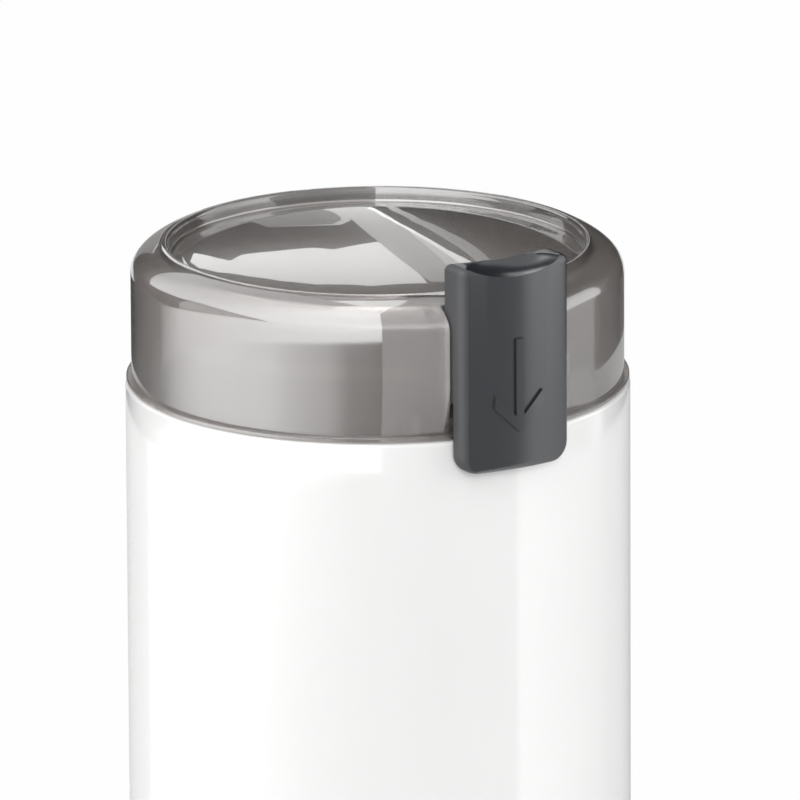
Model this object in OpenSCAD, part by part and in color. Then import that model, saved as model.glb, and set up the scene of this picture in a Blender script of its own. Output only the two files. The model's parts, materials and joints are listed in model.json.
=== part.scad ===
// Electric spice grinder with a press button in its lift-off lid.
// A round plastic body holds a universal motor, a steel grinding bowl and a push switch.
// Z is up and the origin is on the table, on the grinder's axis. The button is on the -Y side.

/* [Body] */
// Outside diameter of the body
body_d = 84; // [80:1:96]
// Height of the body's top edge above the table
seam_h = 138; // [136:1:160]
// Thickness of the body's wall
body_wall = 2.2; // [1.6:0.1:3]
// Rounding of the body's bottom edge
foot_round = 2; // [0.5:0.5:3]
// Rounding of the body's top edge
rim_round = 0.5; // [0.2:0.1:1]
// Gap between the body's top edge and the lid
seam_gap = 0.3; // [0.2:0.05:0.6]

/* [Lid] */
// How far the lid's wall stands back from the body's outside
lid_setback = 1; // [0.5:0.1:2]
// Thickness of the lid's plastic
lid_wall = 2.2; // [1.6:0.1:3]
// Height of the upright rim at the lid's foot
rim_h = 1; // [0.5:0.1:2]
// How far the rim at the lid's foot stands out from the wall
rim_out = 0.5; // [0.2:0.1:1]
// Height over which the rim flares in to the wall
flare_h = 2.5; // [1:0.5:8]
// Height of the lid's wall above the seam, up to the shoulder
shoulder_h = 18.7; // [14:0.1:24]
// Width of the quarter ellipse that the shoulder follows
shoulder_w = 13; // [8:0.5:16]
// Rise of the quarter ellipse that the shoulder follows
shoulder_rise = 6.2; // [5:0.1:10]
// Distance from the lid's wall in to the crest of the shoulder
crest_w = 5.4; // [4:0.1:7]
// Width of the groove between the crest and the centre dome
groove_w = 2.6; // [1.4:0.1:3.4]
// Depth of the groove below the crest
groove_deep = 2.6; // [1:0.1:3]
// Drop from the crest to the edge of the centre dome
dome_drop = 2.3; // [1:0.1:3]
// Rise of the centre dome from its edge to its middle
dome_rise = 4.6; // [3:0.1:5.5]
// Thickness of the skirt that slips over the bowl's collar
skirt_wall = 1.3; // [1:0.1:2]
// Angle between the button and the place where each flat cheek leaves the round wall
cheek_angle = 30; // [24:0.5:34]
// Travel of the lid in lifting it off
lid_travel = 60; // [50:1:80]
// Thickness of the soft seal under the lid
seal_h = 2.2; // [1.5:0.1:3]
// Width of the soft seal
seal_w = 2.2; // [1.5:0.1:3]

/* [Button] */
// Width of the button
button_w = 20.9; // [18:0.1:24]
// How far the button reaches down below the seam
button_drop = 5.3; // [4:0.1:7]
// Height of the button's top above the seam
button_rise = 29.7; // [28:0.1:32]
// How far the button's face stands proud of the body
button_proud = 3; // [2:0.1:4]
// Thickness of the button's face panel
panel_t = 2.3; // [1.8:0.1:2.6]
// Radius of the face panel's lower corners
panel_corner = 3.4; // [2:0.1:5]
// Radius of the face panel's upper corners
panel_top_corner = 1.2; // [0.5:0.1:2]
// Height of the button block's foot above the seam
block_foot = 6.6; // [6:0.1:8]
// Height of the step above the block's foot, where the block becomes thinner
block_step = 12.8; // [12:0.1:14]
// Thickness of the button above the block's step
button_t = 5.2; // [4:0.1:6]
// Travel of the button
button_travel = 3; // [2:0.1:3.2]
// Clearance between the button and its pocket
button_clear = 0.4; // [0.3:0.05:0.6]
// Thickness of the pocket's side ribs and floor
pocket_wall = 1.4; // [1:0.1:1.8]
// Depth of the finger dish in the button's top
dish_deep = 2.1; // [0.5:0.1:2.2]
// Radius of the finger dish across the button
dish_sphere = 22; // [16:1:30]
// Depth of the finger dish front to back, as a share of its width
dish_share = 0.6; // [0.4:0.05:1]
// Height by which the arrow stands out of the face
arrow_raise = 0.45; // [0.2:0.05:0.8]
// Height of the arrow's upper end above the seam
arrow_top = 17.1; // [15:0.1:20]
// Height of the arrow's point above the seam
arrow_tip = 1.2; // [1:0.1:4]
// Width of the arrow's shaft
arrow_shaft = 1.5; // [0.8:0.1:1.6]
// Width of the stroke of the arrow's head
arrow_stroke = 1.6; // [1:0.1:2]
// Width of the arrow's head
arrow_w = 9.6; // [6:0.1:11]
// Height of the arrow's head
arrow_head_h = 6.1; // [4:0.1:7]
// Radius of the springs' bores in the button
spring_bore = 2.3; // [2.2:0.1:2.6]
// Depth of the springs' bores in the button
spring_bore_deep = 11.4; // [9:0.1:14]
// Distance of each spring from the button's middle
spring_x = 5.4; // [4.6:0.1:6.4]
// Radius of the springs' wire
spring_wire = 0.3; // [0.2:0.05:0.4]
// Turns of each button spring
spring_turns = 7; // [5:1:9]
// Radius of the button's plunger and of the switch rod
rod_r = 1.2; // [1:0.1:1.4]
// Gap between the plunger and the switch rod
rod_gap = 0.2; // [0.1:0.05:0.3]
// Clearance round the rods in their guides
rod_clear = 0.1; // [0.05:0.01:0.15]
// Depth of the plunger's bore in the button
plunger_seat = 9; // [6:0.5:12]

/* [Bowl and carrier] */
// Height of the bowl's collar above the seam
collar_rise = 8; // [6:0.1:9]
// Thickness of the collar
collar_wall = 1.7; // [1.4:0.1:2.2]
// Clearance between the lid's skirt and the collar
lid_clear = 0.4; // [0.3:0.05:0.6]
// Depth of the bowl
bowl_deep = 42.5; // [38:0.5:44]
// Thickness of the bowl's sheet steel
bowl_t = 0.8; // [0.6:0.1:1.2]
// Radius between the bowl's wall and floor
bowl_corner = 9; // [6:0.5:12]
// Drop from the body's top edge to the carrier's deck
deck_drop = 4; // [3.8:0.1:5]
// Thickness of the carrier's deck and floor
deck_t = 2.5; // [2:0.1:3]
// Thickness of the gasket below the bowl
gasket_t = 1.5; // [1:0.1:2]
// Mean radius of the gasket
gasket_r = 17; // [14:0.5:20]
// Width of the gasket
gasket_w = 4; // [3:0.5:5]
// Outside radius of the shaft seal's neck
seal_neck = 5.8; // [5:0.1:6.5]
// Height of the shaft seal above the bowl's floor
seal_top = 1.7; // [1:0.1:2.2]

/* [Blade] */
// Gap between the blade's tips and the bowl's wall
blade_gap = 4.5; // [3:0.5:9]
// Thickness of the blade's steel
blade_t = 1.4; // [1:0.1:2]
// Width of the blade at its middle
blade_w = 12; // [10:0.5:14]
// Width of the blade at its tips
blade_tip_w = 6; // [4:0.5:8]
// Height of the blade above the bowl's floor
blade_h = 6; // [5:0.5:8]
// Length of each bent tip
tip_l = 9; // [6:0.5:11]
// Angle by which the tips are bent
tip_angle = 18; // [0:1:25]
// Width across the flats of the blade's nut
nut_w = 8; // [7:0.5:10]
// Height of the blade's nut
nut_h = 4.5; // [3.5:0.5:6]

/* [Motor] */
// Radius of the motor's shaft
shaft_r = 3; // [2.5:0.1:3.5]
// Running clearance of the shaft in its bushes
shaft_clear = 0.05; // [0.02:0.01:0.09]
// Radius of the rotating core
armature_r = 14.5; // [12:0.5:14.5]
// Air gap between the rotating core and the poles
air_gap = 0.5; // [0.4:0.1:0.8]
// Width of the stator stack
stator_w = 52; // [50:1:56]
// Depth of the stator stack
stator_d = 44; // [43:1:48]
// Height of the lamination stack
stack_h = 26; // [22:1:27]
// Thickness of the pole shoes
shoe_t = 2; // [1.5:0.1:2.5]
// Width of the poles' necks
neck_w = 14; // [10:0.5:15]
// Thickness of the stator's yoke
yoke_t = 4; // [3:0.1:4.5]
// Half height of the coil windows
window_y = 13.8; // [12:0.1:14]
// Length of the field coils' ends beyond the stack
coil_over = 6; // [4:0.5:7]
// Slots in the rotating core
slots = 12; // [8:1:16]
// Width of the slots in the rotating core
slot_w = 2.4; // [1.6:0.1:3]
// Length of the rotating core's end turns
end_turns = 5; // [4:0.5:6]
// Radius of the commutator
comm_r = 9; // [8:0.1:10]
// Height of the commutator
comm_h = 10; // [8:0.5:11]
// Gap between the stack and the commutator
comm_gap = 10; // [9:0.5:12]
// Segments of the commutator
comm_bars = 24; // [16:1:32]
// Distance of the motor's bolts from its axis, sideways
bolt_x = 17; // [16.5:0.1:18]
// Distance of the motor's bolts from its axis, front to back
bolt_y = 16.8; // [16.6:0.1:17.5]
// Radius of the motor's bolts
bolt_r = 1.5; // [1.2:0.1:1.6]
// Radius of the brackets' legs
leg_r = 3; // [2.8:0.1:3.1]
// Thickness of the bearing brackets
bracket_t = 2.5; // [2:0.1:3]
// Length of the top bracket's legs
top_leg = 8; // [7.5:0.5:10]
// Length of the bottom bracket's legs
bottom_leg = 23.9; // [23:0.1:26]
// Radius of the bearing bushes
bush_r = 5; // [4.5:0.1:5.5]
// Height of the bearing bushes
bush_h = 6.5; // [5:0.5:7]
// Thickness of the cups that hold the bushes
cup_wall = 2; // [1.5:0.1:2.5]
// Thickness of the rubber dampers
damper_t = 2; // [1.5:0.1:3]
// Length of the carrier's posts above the dampers
post_h = 5; // [4:0.5:8]
// Radius of the fan
fan_r = 24; // [20:0.5:25]
// Height of the fan
fan_h = 9.5; // [7:0.5:10]
// Gap between the bottom bracket and the fan
fan_gap = 8; // [7:0.5:10]
// Vanes of the fan
fan_vanes = 11; // [7:1:15]
// Width of the carbon brushes
brush_w = 4; // [3:0.5:5]
// Height of the carbon brushes
brush_h = 6; // [5:0.5:7]
// Length of the carbon brushes
brush_l = 9; // [7:0.5:10]
// Wall of the brush holders
holder_wall = 1.4; // [1:0.1:1.8]

/* [Base and inlet] */
// Height of the feet below the base plate
foot_proud = 2.4; // [2.2:0.1:4]
// How far the base plate stands up from the body's lower edge
base_up = 0.4; // [0.2:0.1:1]
// Thickness of the base plate
base_t = 3; // [2.6:0.1:4]
// Clearance round the base plate and the deck
plate_clear = 0.2; // [0.1:0.05:0.4]
// Radius of the rubber feet
foot_r = 5; // [4:0.5:6]
// Distance of the feet's middle in from the body's wall
foot_inset = 7.8; // [7:0.1:10]
// Depth of the feet's seats in the base plate
foot_seat = 1; // [0.5:0.1:1.4]
// Radius of the lower screw bosses
boss_r = 3.2; // [3:0.1:3.6]
// Height of the lower screw bosses
boss_h = 12.6; // [11:0.1:16]
// Radius of the base screws
screw_r = 1.4; // [1.2:0.1:1.6]
// Length of the base screws below their heads
screw_l = 11; // [9:0.5:12]
// Radius of the upper screw bosses
deck_boss_r = 2.2; // [2:0.1:2.3]
// Radius of the deck screws
deck_screw_r = 1; // [0.8:0.1:1.1]
// Length of the deck screws in their bosses
deck_screw_l = 8; // [6:0.5:10]
// Height of the cord inlet above the table
gland_z = 14; // [13:0.5:16]
// Radius of the cord inlet's bore
gland_bore = 3.4; // [3:0.1:3.8]
// Wall of the inlet's neck
gland_wall = 2; // [1.5:0.1:2.4]
// Width of the inlet's flanges round the neck
gland_flange = 1.4; // [1:0.1:2]
// Vents in the base plate
vents = 20; // [12:1:24]
// Width of each vent
vent_w = 1.8; // [1.2:0.1:2.4]

/* [Switch and wiring] */
// Width of the switch
switch_w = 20; // [16:0.5:21]
// Depth of the switch
switch_d = 10.4; // [9:0.1:11]
// Height of the switch
switch_h = 18; // [14:0.5:22]
// Radius of the switch's own plunger
switch_pin_r = 1.8; // [1.4:0.1:2.2]
// Height by which the switch's plunger stands out at rest
switch_stroke = 5; // [4:0.1:6]
// Radius of the insulated leads
lead_r = 0.8; // [0.6:0.05:1]
// Width of the capacitor and of the terminal block
unit_w = 18; // [14:0.5:20]
// Depth of the capacitor and of the terminal block
unit_d = 7.4; // [6:0.1:8]
// Height of the capacitor
capacitor_h = 12; // [10:0.5:16]
// Height of the terminal block
terminal_h = 10; // [8:0.5:14]
// Distance between the two shelves in the body
shelf_step = 26; // [24:1:30]
// Height of the lower shelf above the table
shelf_z = 40; // [38:1:46]

/* [Hidden] */
$fn = 64;

// Small lengths used all over
bite = 0.2;
press_gap = 0.02;
thread_gap = 0.05;
lead_gap = 0.1;
over = 1;

// Radii, from the body's wall in to the bowl
body_r = body_d / 2;
body_in = body_r - body_wall;
lid_r = body_r - lid_setback;
rim_r = lid_r + rim_out;
rod_wall_gap = 0.7;
rod_cover = 0.5;
rod_y = body_in - rod_wall_gap - rod_r;
block_back = rod_y - rod_r - rod_cover;
pocket_back = block_back - button_clear;
skirt_out = pocket_back - 0.5;
skirt_in = skirt_out - skirt_wall;
collar_out = skirt_in - lid_clear;
collar_in = collar_out - collar_wall;
bowl_out = collar_in - 0.1;
bowl_in = bowl_out - bowl_t;
bell_gap = 1.7;
bell_out = rod_y - rod_r - bell_gap;
bell_in = bell_out - 2;
panel_out = body_r + button_proud;
panel_in = panel_out - panel_t;
top_back = panel_out - button_t;
half_button = button_w / 2;
half_pocket = half_button + button_clear;

// Heights of the lid
lid_bottom = seam_h + seam_gap;
shoulder_z = seam_h + shoulder_h;
crest_r = lid_r - crest_w;
crest_angle = acos((crest_r - lid_r + shoulder_w) / shoulder_w);
crest_z = shoulder_z + shoulder_rise * sin(crest_angle);
dome_r = crest_r - groove_w;
dome_z = crest_z - dome_drop;
block_z = seam_h + block_foot;
step_z = block_z + block_step;
button_top = seam_h + button_rise;
pocket_floor = block_z - button_travel - 0.4;
toe_h = 1.5;
toe_w = 1.2;
spring_y = panel_in - spring_bore - 1.1;
plunger_z = lid_bottom + 0.1;

// Heights of the bowl and the carrier
collar_top = seam_h + collar_rise;
bowl_floor = collar_top - bowl_deep;
floor_top = bowl_floor - gasket_t;
floor_bottom = floor_top - deck_t;
deck_top = seam_h - deck_drop;
deck_bottom = deck_top - deck_t;
seal_z = collar_top + bowl_t + 0.3;

// Heights of the motor, which hangs below the carrier
post_z = floor_bottom - post_h;
bracket_top = post_z - damper_t;
top_plate_z = bracket_top - bracket_t;
stack_top = top_plate_z - top_leg;
stack_z = stack_top - stack_h;
bottom_plate_top = stack_z - bottom_leg;
bottom_plate_z = bottom_plate_top - bracket_t;
comm_top = stack_z - comm_gap;
brush_z = comm_top - comm_h / 2;
fan_top = bottom_plate_z - fan_gap;
fan_z = fan_top - fan_h;
blade_r = bowl_in - blade_gap;
blade_z = bowl_floor + bowl_t + blade_h;
nut_z = blade_z + blade_t;
bore_r = armature_r + air_gap;
window_x = stator_w / 2 - yoke_t;
upper_cup_z = bracket_top + 3 - bush_h - cup_wall / 2;
lower_cup_z = bottom_plate_z - 3.6;
holder_end = 24;

// Heights of the base
housing_z = foot_proud - base_up;
base_top = foot_proud + base_t;
foot_ring = body_in - foot_inset;
boss_ring = body_in - boss_r + bite;
deck_ring = body_in - deck_boss_r + bite;
gland_end = panel_out + arrow_raise;
clamp_y = body_in - 8.8;
clamp_d = 5;
clamp_w = 22;
clamp_post_r = 2.8;
clamp_z = gland_z - 2;
clamp_h = 7.5;
clamp_screw_x = clamp_w / 2 - 3;
clamp_screw_r = 1.2;
clamp_screw_l = 4.5;

// Places of the switch, the shelves and their units
foot_plate_t = 2;
rod_foot_z = post_z + 0.5;
switch_pin_y = rod_y - 4.3;
switch_out = sqrt(pow(body_in - 0.3, 2) - pow(switch_w / 2, 2));
switch_z = rod_foot_z - switch_stroke - switch_h;
switch_back = switch_out - switch_d;
switch_screw_y = switch_back - 4.8;
switch_screw_x = switch_w * 0.3;
switch_screw_r = 1;
switch_plate_t = 1.2;
shelf_t = 2;
lead_run = body_in - 3.8;
lead_pull = lead_run * 0.83;
shelf_y = body_in - 10.8;
unit_y = shelf_y + 0.6;
capacitor_z = shelf_z + shelf_t;
terminal_z = shelf_z + shelf_step + shelf_t;

// Points along an arc of an ellipse round the point c
function ellipse_arc(c, rx, ry, a0, a1, n) =
    [for (i = [0:n]) let (a = a0 + (a1 - a0) * i / n) [c[0] + rx * cos(a), c[1] + ry * sin(a)]];
// Points of a shallow dome from its edge to its middle
function dome_arc(r, z, rise, n) =
    let (s = (r * r + rise * rise) / (2 * rise))
    [for (i = [0:n]) let (q = r * (1 - i / n)) [q, z + rise - s + sqrt(s * s - q * q)]];
// Points of a cubic curve between two ends with two pulls
function curve(p, n) =
    [for (i = [0:n]) let (t = i / n, u = 1 - t)
        u * u * u * p[0] + 3 * u * u * t * p[1] + 3 * u * t * t * p[2] + t * t * t * p[3]];
// Points of an arc round the axis that climbs from z0 to z1
function around(r, a0, a1, z0, z1, n) =
    [for (i = [0:n]) let (a = a0 + (a1 - a0) * i / n)
        [r * cos(a), r * sin(a), z0 + (z1 - z0) * i / n]];
function unit(v) = v / norm(v);
function heading(path, i) =
    unit(path[min(i + 1, len(path) - 1)] - path[max(i - 1, 0)]);

// A tube of radius r along a path; side gives the direction that its seam keeps to
module tube(path, r, sides = 8, side = [0, 0, 1]) {
    n = len(path);
    rings = [for (i = [0:n - 1])
        let (t = heading(path, i), a = unit(cross(t, side)), b = cross(a, t))
        for (k = [0:sides - 1])
            path[i] + r * (cos(360 * k / sides) * a + sin(360 * k / sides) * b)];
    quads = [for (i = [0:n - 2], k = [0:sides - 1])
        let (m = (k + 1) % sides)
        [i * sides + m, (i + 1) * sides + m, (i + 1) * sides + k, i * sides + k]];
    start = [for (k = [sides - 1:-1:0]) k];
    finish = [for (k = [0:sides - 1]) (n - 1) * sides + k];
    polyhedron(rings, concat(quads, [start, finish]), convexity = 10);
}

// A coil spring standing on the XY plane
module coil(r, wire, height, turns) {
    steps = 14;
    path = [for (i = [0:turns * steps]) let (a = 360 * i / steps)
        [r * cos(a), r * sin(a), wire + (height - 2 * wire) * i / (turns * steps)]];
    tube(path, wire, 6);
}

module rounded_rect(w, h, r) {
    square([w, h - 2 * r], center = true);
    square([w - 2 * r, h], center = true);
    for (x = [-1, 1], y = [-1, 1])
        translate([x * (w / 2 - r), y * (h / 2 - r)]) circle(r);
}

module ring(r_out, r_in, h) {
    difference() {
        cylinder(r = r_out, h = h);
        translate([0, 0, -over]) cylinder(r = r_in, h = h + 2 * over);
    }
}

module at_corners(r) {
    for (a = [45:90:315]) rotate([0, 0, a]) translate([r, 0, 0]) children();
}

module at_bolts() {
    for (x = [-bolt_x, bolt_x], y = [-bolt_y, bolt_y]) translate([x, y, 0]) children();
}

// A screw pointing up, with its head below z = 0
module screw(r, l, head_r, head_h) {
    cylinder(r = r, h = l);
    translate([0, 0, -head_h]) difference() {
        cylinder(r = head_r, h = head_h);
        for (a = [0, 90]) rotate([0, 0, a])
            translate([-head_r * 0.6, -0.3, -over]) cube([head_r * 1.2, 0.6, over + 0.6]);
    }
}

// The block of space between two radii, on the button's side
module front_sector(half, r_out, r_in, z0, z1) {
    intersection() {
        translate([-half, -r_out - over, z0]) cube([2 * half, r_out + over, z1 - z0]);
        translate([0, 0, z0 - over]) ring(r_out, r_in, z1 - z0 + 2 * over);
    }
}

// A slot along Y, open at its lower end and round at the cord inlet's height
module inlet_slot(r, depth) {
    translate([0, 0, gland_z]) rotate([-90, 0, 0]) cylinder(r = r, h = depth);
    translate([-r, 0, 0]) cube([2 * r, depth, gland_z]);
}

module outer_housing() {
    top = concat([[body_in, seam_h - rim_round / 2], [body_in + rim_round / 2, seam_h]],
        ellipse_arc([body_r - rim_round, seam_h - rim_round], rim_round, rim_round, 90, 0, 5));
    bottom = concat(
        ellipse_arc([body_r - foot_round, housing_z + foot_round], foot_round, foot_round, 0, -90, 6),
        [[body_in, housing_z]]);
    color("white") difference() {
        union() {
            rotate_extrude($fn = 180) polygon(concat(top, bottom));
            intersection() {
                union() {
                    at_corners(boss_ring) translate([0, 0, base_top]) cylinder(r = boss_r, h = boss_h);
                    at_corners(deck_ring) translate([0, 0, deck_bottom - 2.5 * deck_screw_l])
                        cylinder(r = deck_boss_r, h = 2.5 * deck_screw_l);
                    for (z = [shelf_z, shelf_z + shelf_step]) translate([-unit_w / 2 - shelf_t, shelf_y, z])
                        cube([unit_w + 2 * shelf_t, body_r - shelf_y, shelf_t]);
                }
                cylinder(r = body_in + bite, h = seam_h);
            }
        }
        at_corners(boss_ring) translate([0, 0, base_top - over])
            cylinder(r = screw_r + thread_gap, h = screw_l + over);
        at_corners(deck_ring) translate([0, 0, deck_bottom - deck_screw_l - 2])
            cylinder(r = deck_screw_r + thread_gap, h = deck_screw_l + 2 + over);
        translate([0, body_in - over, 0]) inlet_slot(gland_bore + gland_wall + thread_gap, body_wall + 3);
    }
}

module bowl_carrier() {
    guide_w = 6;
    guide_z = floor_bottom + 5;
    key_t = 1.4;
    key_rise = 4;
    color("gainsboro") difference() {
        union() {
            rotate_extrude($fn = 128) polygon([
                [collar_in, deck_bottom], [collar_in, collar_top], [collar_out, collar_top],
                [collar_out, deck_top], [body_in - plate_clear, deck_top],
                [body_in - plate_clear, deck_bottom], [bell_out, deck_bottom],
                [bell_out, floor_bottom], [seal_neck + press_gap, floor_bottom],
                [seal_neck + press_gap, floor_top], [bell_in, floor_top], [bell_in, deck_bottom]]);
            at_bolts() translate([0, 0, post_z]) cylinder(r = leg_r + 1.4, h = post_h + bite);
            translate([-guide_w / 2, -rod_y - rod_r - 0.6, guide_z])
                cube([guide_w, rod_y + rod_r + 0.6 - bell_in - 0.5, 3]);
            intersection() {
                for (x = [-1, 1]) translate([x * (half_pocket + pocket_wall + 2) - key_t / 2, -body_r, 0])
                    cube([key_t, body_r, seam_h + key_rise]);
                translate([0, 0, deck_top - bite])
                    ring(lid_r - lid_wall - lid_clear, skirt_out + lid_clear, seam_h);
            }
        }
        at_bolts() translate([0, 0, post_z - over])
            cylinder(r = bolt_r + thread_gap, h = post_h + deck_t - 0.6 + over);
        translate([0, -rod_y, floor_bottom]) cylinder(r = rod_r + rod_clear, h = deck_top);
        at_corners(deck_ring) translate([0, 0, deck_bottom - over])
            cylinder(r = deck_screw_r + 0.15, h = deck_t + 2 * over);
        for (x = [-switch_screw_x, switch_screw_x]) translate([x, -switch_screw_y, floor_bottom - over])
            cylinder(r = switch_screw_r + thread_gap, h = deck_t - 0.6 + over);
    }
}

module carrier_screws() {
    color("silver") at_corners(deck_ring) translate([0, 0, deck_top]) rotate([180, 0, 0])
        screw(deck_screw_r, deck_t + deck_screw_l, deck_screw_r + 0.8, 1.2);
}

module grinding_bowl() {
    rim = collar_top;
    hole = seal_neck + bite;
    outside = concat([[collar_out, rim + bowl_t], [collar_out, rim], [bowl_out, rim]],
        ellipse_arc([bowl_out - bowl_corner, bowl_floor + bowl_corner],
            bowl_corner, bowl_corner, 0, -90, 8), [[hole, bowl_floor]]);
    inside = concat([[hole, bowl_floor + bowl_t]],
        ellipse_arc([bowl_out - bowl_corner, bowl_floor + bowl_corner],
            bowl_corner - bowl_t, bowl_corner - bowl_t, -90, 0, 8), [[bowl_in, rim + bowl_t]]);
    color("lightgray") rotate_extrude($fn = 128) polygon(concat(outside, inside));
}

module bowl_gasket() {
    color("dimgray") translate([0, 0, floor_top])
        ring(gasket_r + gasket_w / 2, gasket_r - gasket_w / 2, gasket_t);
}

module shaft_seal() {
    bore = shaft_r + shaft_clear;
    color("dimgray") rotate_extrude() polygon([
        [bore, floor_bottom], [seal_neck, floor_bottom], [seal_neck, floor_top],
        [seal_neck + 2, floor_top], [seal_neck + 2, bowl_floor], [seal_neck, bowl_floor],
        [seal_neck, bowl_floor + bowl_t + seal_top - 0.6],
        [seal_neck - 0.6, bowl_floor + bowl_t + seal_top], [bore, bowl_floor + bowl_t + seal_top]]);
}

// A bearing cup with the seat of its bush open at the top
module bush_cup(z) {
    translate([0, 0, z]) cylinder(r = bush_r + cup_wall, h = bush_h + cup_wall / 2);
}

module bush_seat(z) {
    translate([0, 0, z + cup_wall / 2]) cylinder(r = bush_r + press_gap, h = bush_h + over);
    translate([0, 0, z - over]) cylinder(r = shaft_r + 1, h = 2 * over + cup_wall);
}

module bearing_bush(z) {
    color("darkgoldenrod") translate([0, 0, z + cup_wall / 2])
        ring(bush_r, shaft_r + shaft_clear, bush_h);
}

module bracket_plate(z) {
    translate([0, 0, z]) linear_extrude(bracket_t) difference() {
        rounded_rect(2 * (bolt_x + leg_r + 1), 2 * (bolt_y + leg_r + 1), leg_r + 1);
        for (x = [-1, 1]) translate([x * (bush_r + cup_wall + 6.5), 0]) circle(4);
    }
}

module motor_top_bracket() {
    color("lightslategray") difference() {
        union() {
            bracket_plate(top_plate_z);
            at_bolts() translate([0, 0, stack_top]) cylinder(r = leg_r, h = top_leg + bite);
            bush_cup(upper_cup_z);
        }
        bush_seat(upper_cup_z);
        at_bolts() translate([0, 0, stack_top - over])
            cylinder(r = bolt_r + 0.2, h = top_leg + bracket_t + 2 * over);
    }
}

module motor_bottom_bracket() {
    pedestal_z = brush_z - brush_h / 2 - holder_wall;
    color("lightslategray") difference() {
        union() {
            bracket_plate(bottom_plate_z);
            at_bolts() translate([0, 0, bottom_plate_top - bite])
                cylinder(r = leg_r, h = bottom_leg + bite);
            bush_cup(lower_cup_z);
            for (y = [-1, 1]) translate([-2.4, y * (holder_end - 7) - 3, bottom_plate_top - bite])
                cube([4.8, 6, pedestal_z - bottom_plate_top + bite]);
        }
        bush_seat(lower_cup_z);
        at_bolts() translate([0, 0, bottom_plate_z - over])
            cylinder(r = bolt_r + 0.2, h = bottom_leg + bracket_t + 2 * over);
    }
}

module upper_bush() {
    bearing_bush(upper_cup_z);
}

module lower_bush() {
    bearing_bush(lower_cup_z);
}

module stator_core() {
    color("slategray") translate([0, 0, stack_z]) linear_extrude(stack_h) {
        difference() {
            rounded_rect(stator_w, stator_d, 10);
            circle(bore_r + shoe_t + 0.2);
            square([2 * window_x, 2 * window_y], center = true);
            for (x = [-bolt_x, bolt_x], y = [-bolt_y, bolt_y])
                translate([x, y]) circle(bolt_r + 0.2);
        }
        for (x = [-1, 1]) difference() {
            union() {
                translate([x * (bore_r + window_x) / 2, 0])
                    square([window_x - bore_r + 1, neck_w], center = true);
                intersection() {
                    circle(bore_r + shoe_t);
                    translate([x * (bore_r + shoe_t) / 2 + x * 4, 0])
                        square([bore_r + shoe_t, 2 * (bore_r + shoe_t)], center = true);
                }
            }
            circle(bore_r);
        }
    }
}

module field_coils() {
    inner_x = bore_r + shoe_t + 0.3;
    thick = window_x - inner_x - 0.3;
    color("chocolate") for (x = [-1, 1])
        translate([x * (inner_x + thick / 2), 0, stack_z + stack_h / 2]) rotate([90, 0, 90])
            translate([0, 0, -thick / 2]) linear_extrude(thick) difference() {
                rounded_rect(2 * window_y - 0.8, stack_h + 2 * coil_over, 5);
                rounded_rect(neck_w + 0.6, stack_h + 0.6, 1);
            }
}

module at_brushes() {
    for (a = [0, 180]) rotate([0, 0, a]) translate([0, 0, brush_z]) children();
}

module brush_holders() {
    w = brush_w + 2 * (holder_wall + 0.1);
    h = brush_h + 2 * holder_wall;
    start = comm_r + 2;
    color("saddlebrown") at_brushes() difference() {
        translate([-w / 2, start, -h / 2]) cube([w, holder_end - start, h]);
        translate([-brush_w / 2 - 0.1, start - over, -brush_h / 2 - 0.1])
            cube([brush_w + 0.2, holder_end - start - holder_wall + over, brush_h + 0.2]);
    }
}

module carbon_brushes() {
    color("darkslategray") at_brushes() difference() {
        translate([-brush_w / 2, comm_r - 1, -brush_h / 2]) cube([brush_w, brush_l + 1, brush_h]);
        cylinder(r = comm_r + shaft_clear, h = 2 * brush_h, center = true);
    }
}

module brush_springs() {
    room = holder_end - holder_wall - comm_r - brush_l;
    color("silver") at_brushes() translate([0, comm_r + brush_l, 0]) rotate([-90, 0, 0])
        coil(brush_w / 2 - 0.4, 0.25, room, 4);
}

module motor_bolts() {
    color("silver") at_bolts() translate([0, 0, bottom_plate_z])
        screw(bolt_r, floor_top - 1.2 - bottom_plate_z, bolt_r + 1.2, 2.4);
}

module motor_dampers() {
    color("dimgray") at_bolts() translate([0, 0, bracket_top])
        ring(leg_r + 1.4, bolt_r + 0.2, damper_t);
}

module switch_case() {
    color("darkslategray") difference() {
        translate([-switch_w / 2, -switch_out, switch_z]) cube([switch_w, switch_d, switch_h]);
        translate([0, -switch_pin_y, switch_z + switch_h - 10])
            cylinder(r = switch_pin_r + rod_clear, h = 10 + over);
    }
}

module switch_bracket() {
    plate_w = switch_w - 2;
    color("silver") difference() {
        union() {
            translate([-plate_w / 2, -switch_back, switch_z])
                cube([plate_w, switch_plate_t, floor_bottom - switch_z]);
            translate([-plate_w / 2, -switch_back, floor_bottom - switch_plate_t])
                cube([plate_w, switch_back - switch_screw_y + 3, switch_plate_t]);
        }
        for (x = [-switch_screw_x, switch_screw_x])
            translate([x, -switch_screw_y, floor_bottom - switch_plate_t - over])
                cylinder(r = switch_screw_r + 0.2, h = switch_plate_t + 2 * over);
    }
}

module switch_screws() {
    color("silver") for (x = [-switch_screw_x, switch_screw_x])
        translate([x, -switch_screw_y, floor_bottom - switch_plate_t])
            screw(switch_screw_r, switch_plate_t + deck_t - 1, switch_screw_r + 0.8, 1.2);
}

module suppression_capacitor() {
    color("goldenrod") {
        translate([-unit_w / 2, unit_y, capacitor_z]) cube([unit_w, unit_d, capacitor_h]);
        for (x = [-1, 1]) tube(curve([
            [x * 6, unit_y + 2, capacitor_z + capacitor_h - 0.3],
            [x * 6, unit_y + 2, capacitor_z + capacitor_h + 9],
            [x * 6, shelf_y - 7, terminal_z + 2.4],
            [x * 6, unit_y - lead_gap, terminal_z + 2.4]], 16), 0.45, 8, [1, 0, 0]);
    }
}

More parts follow.
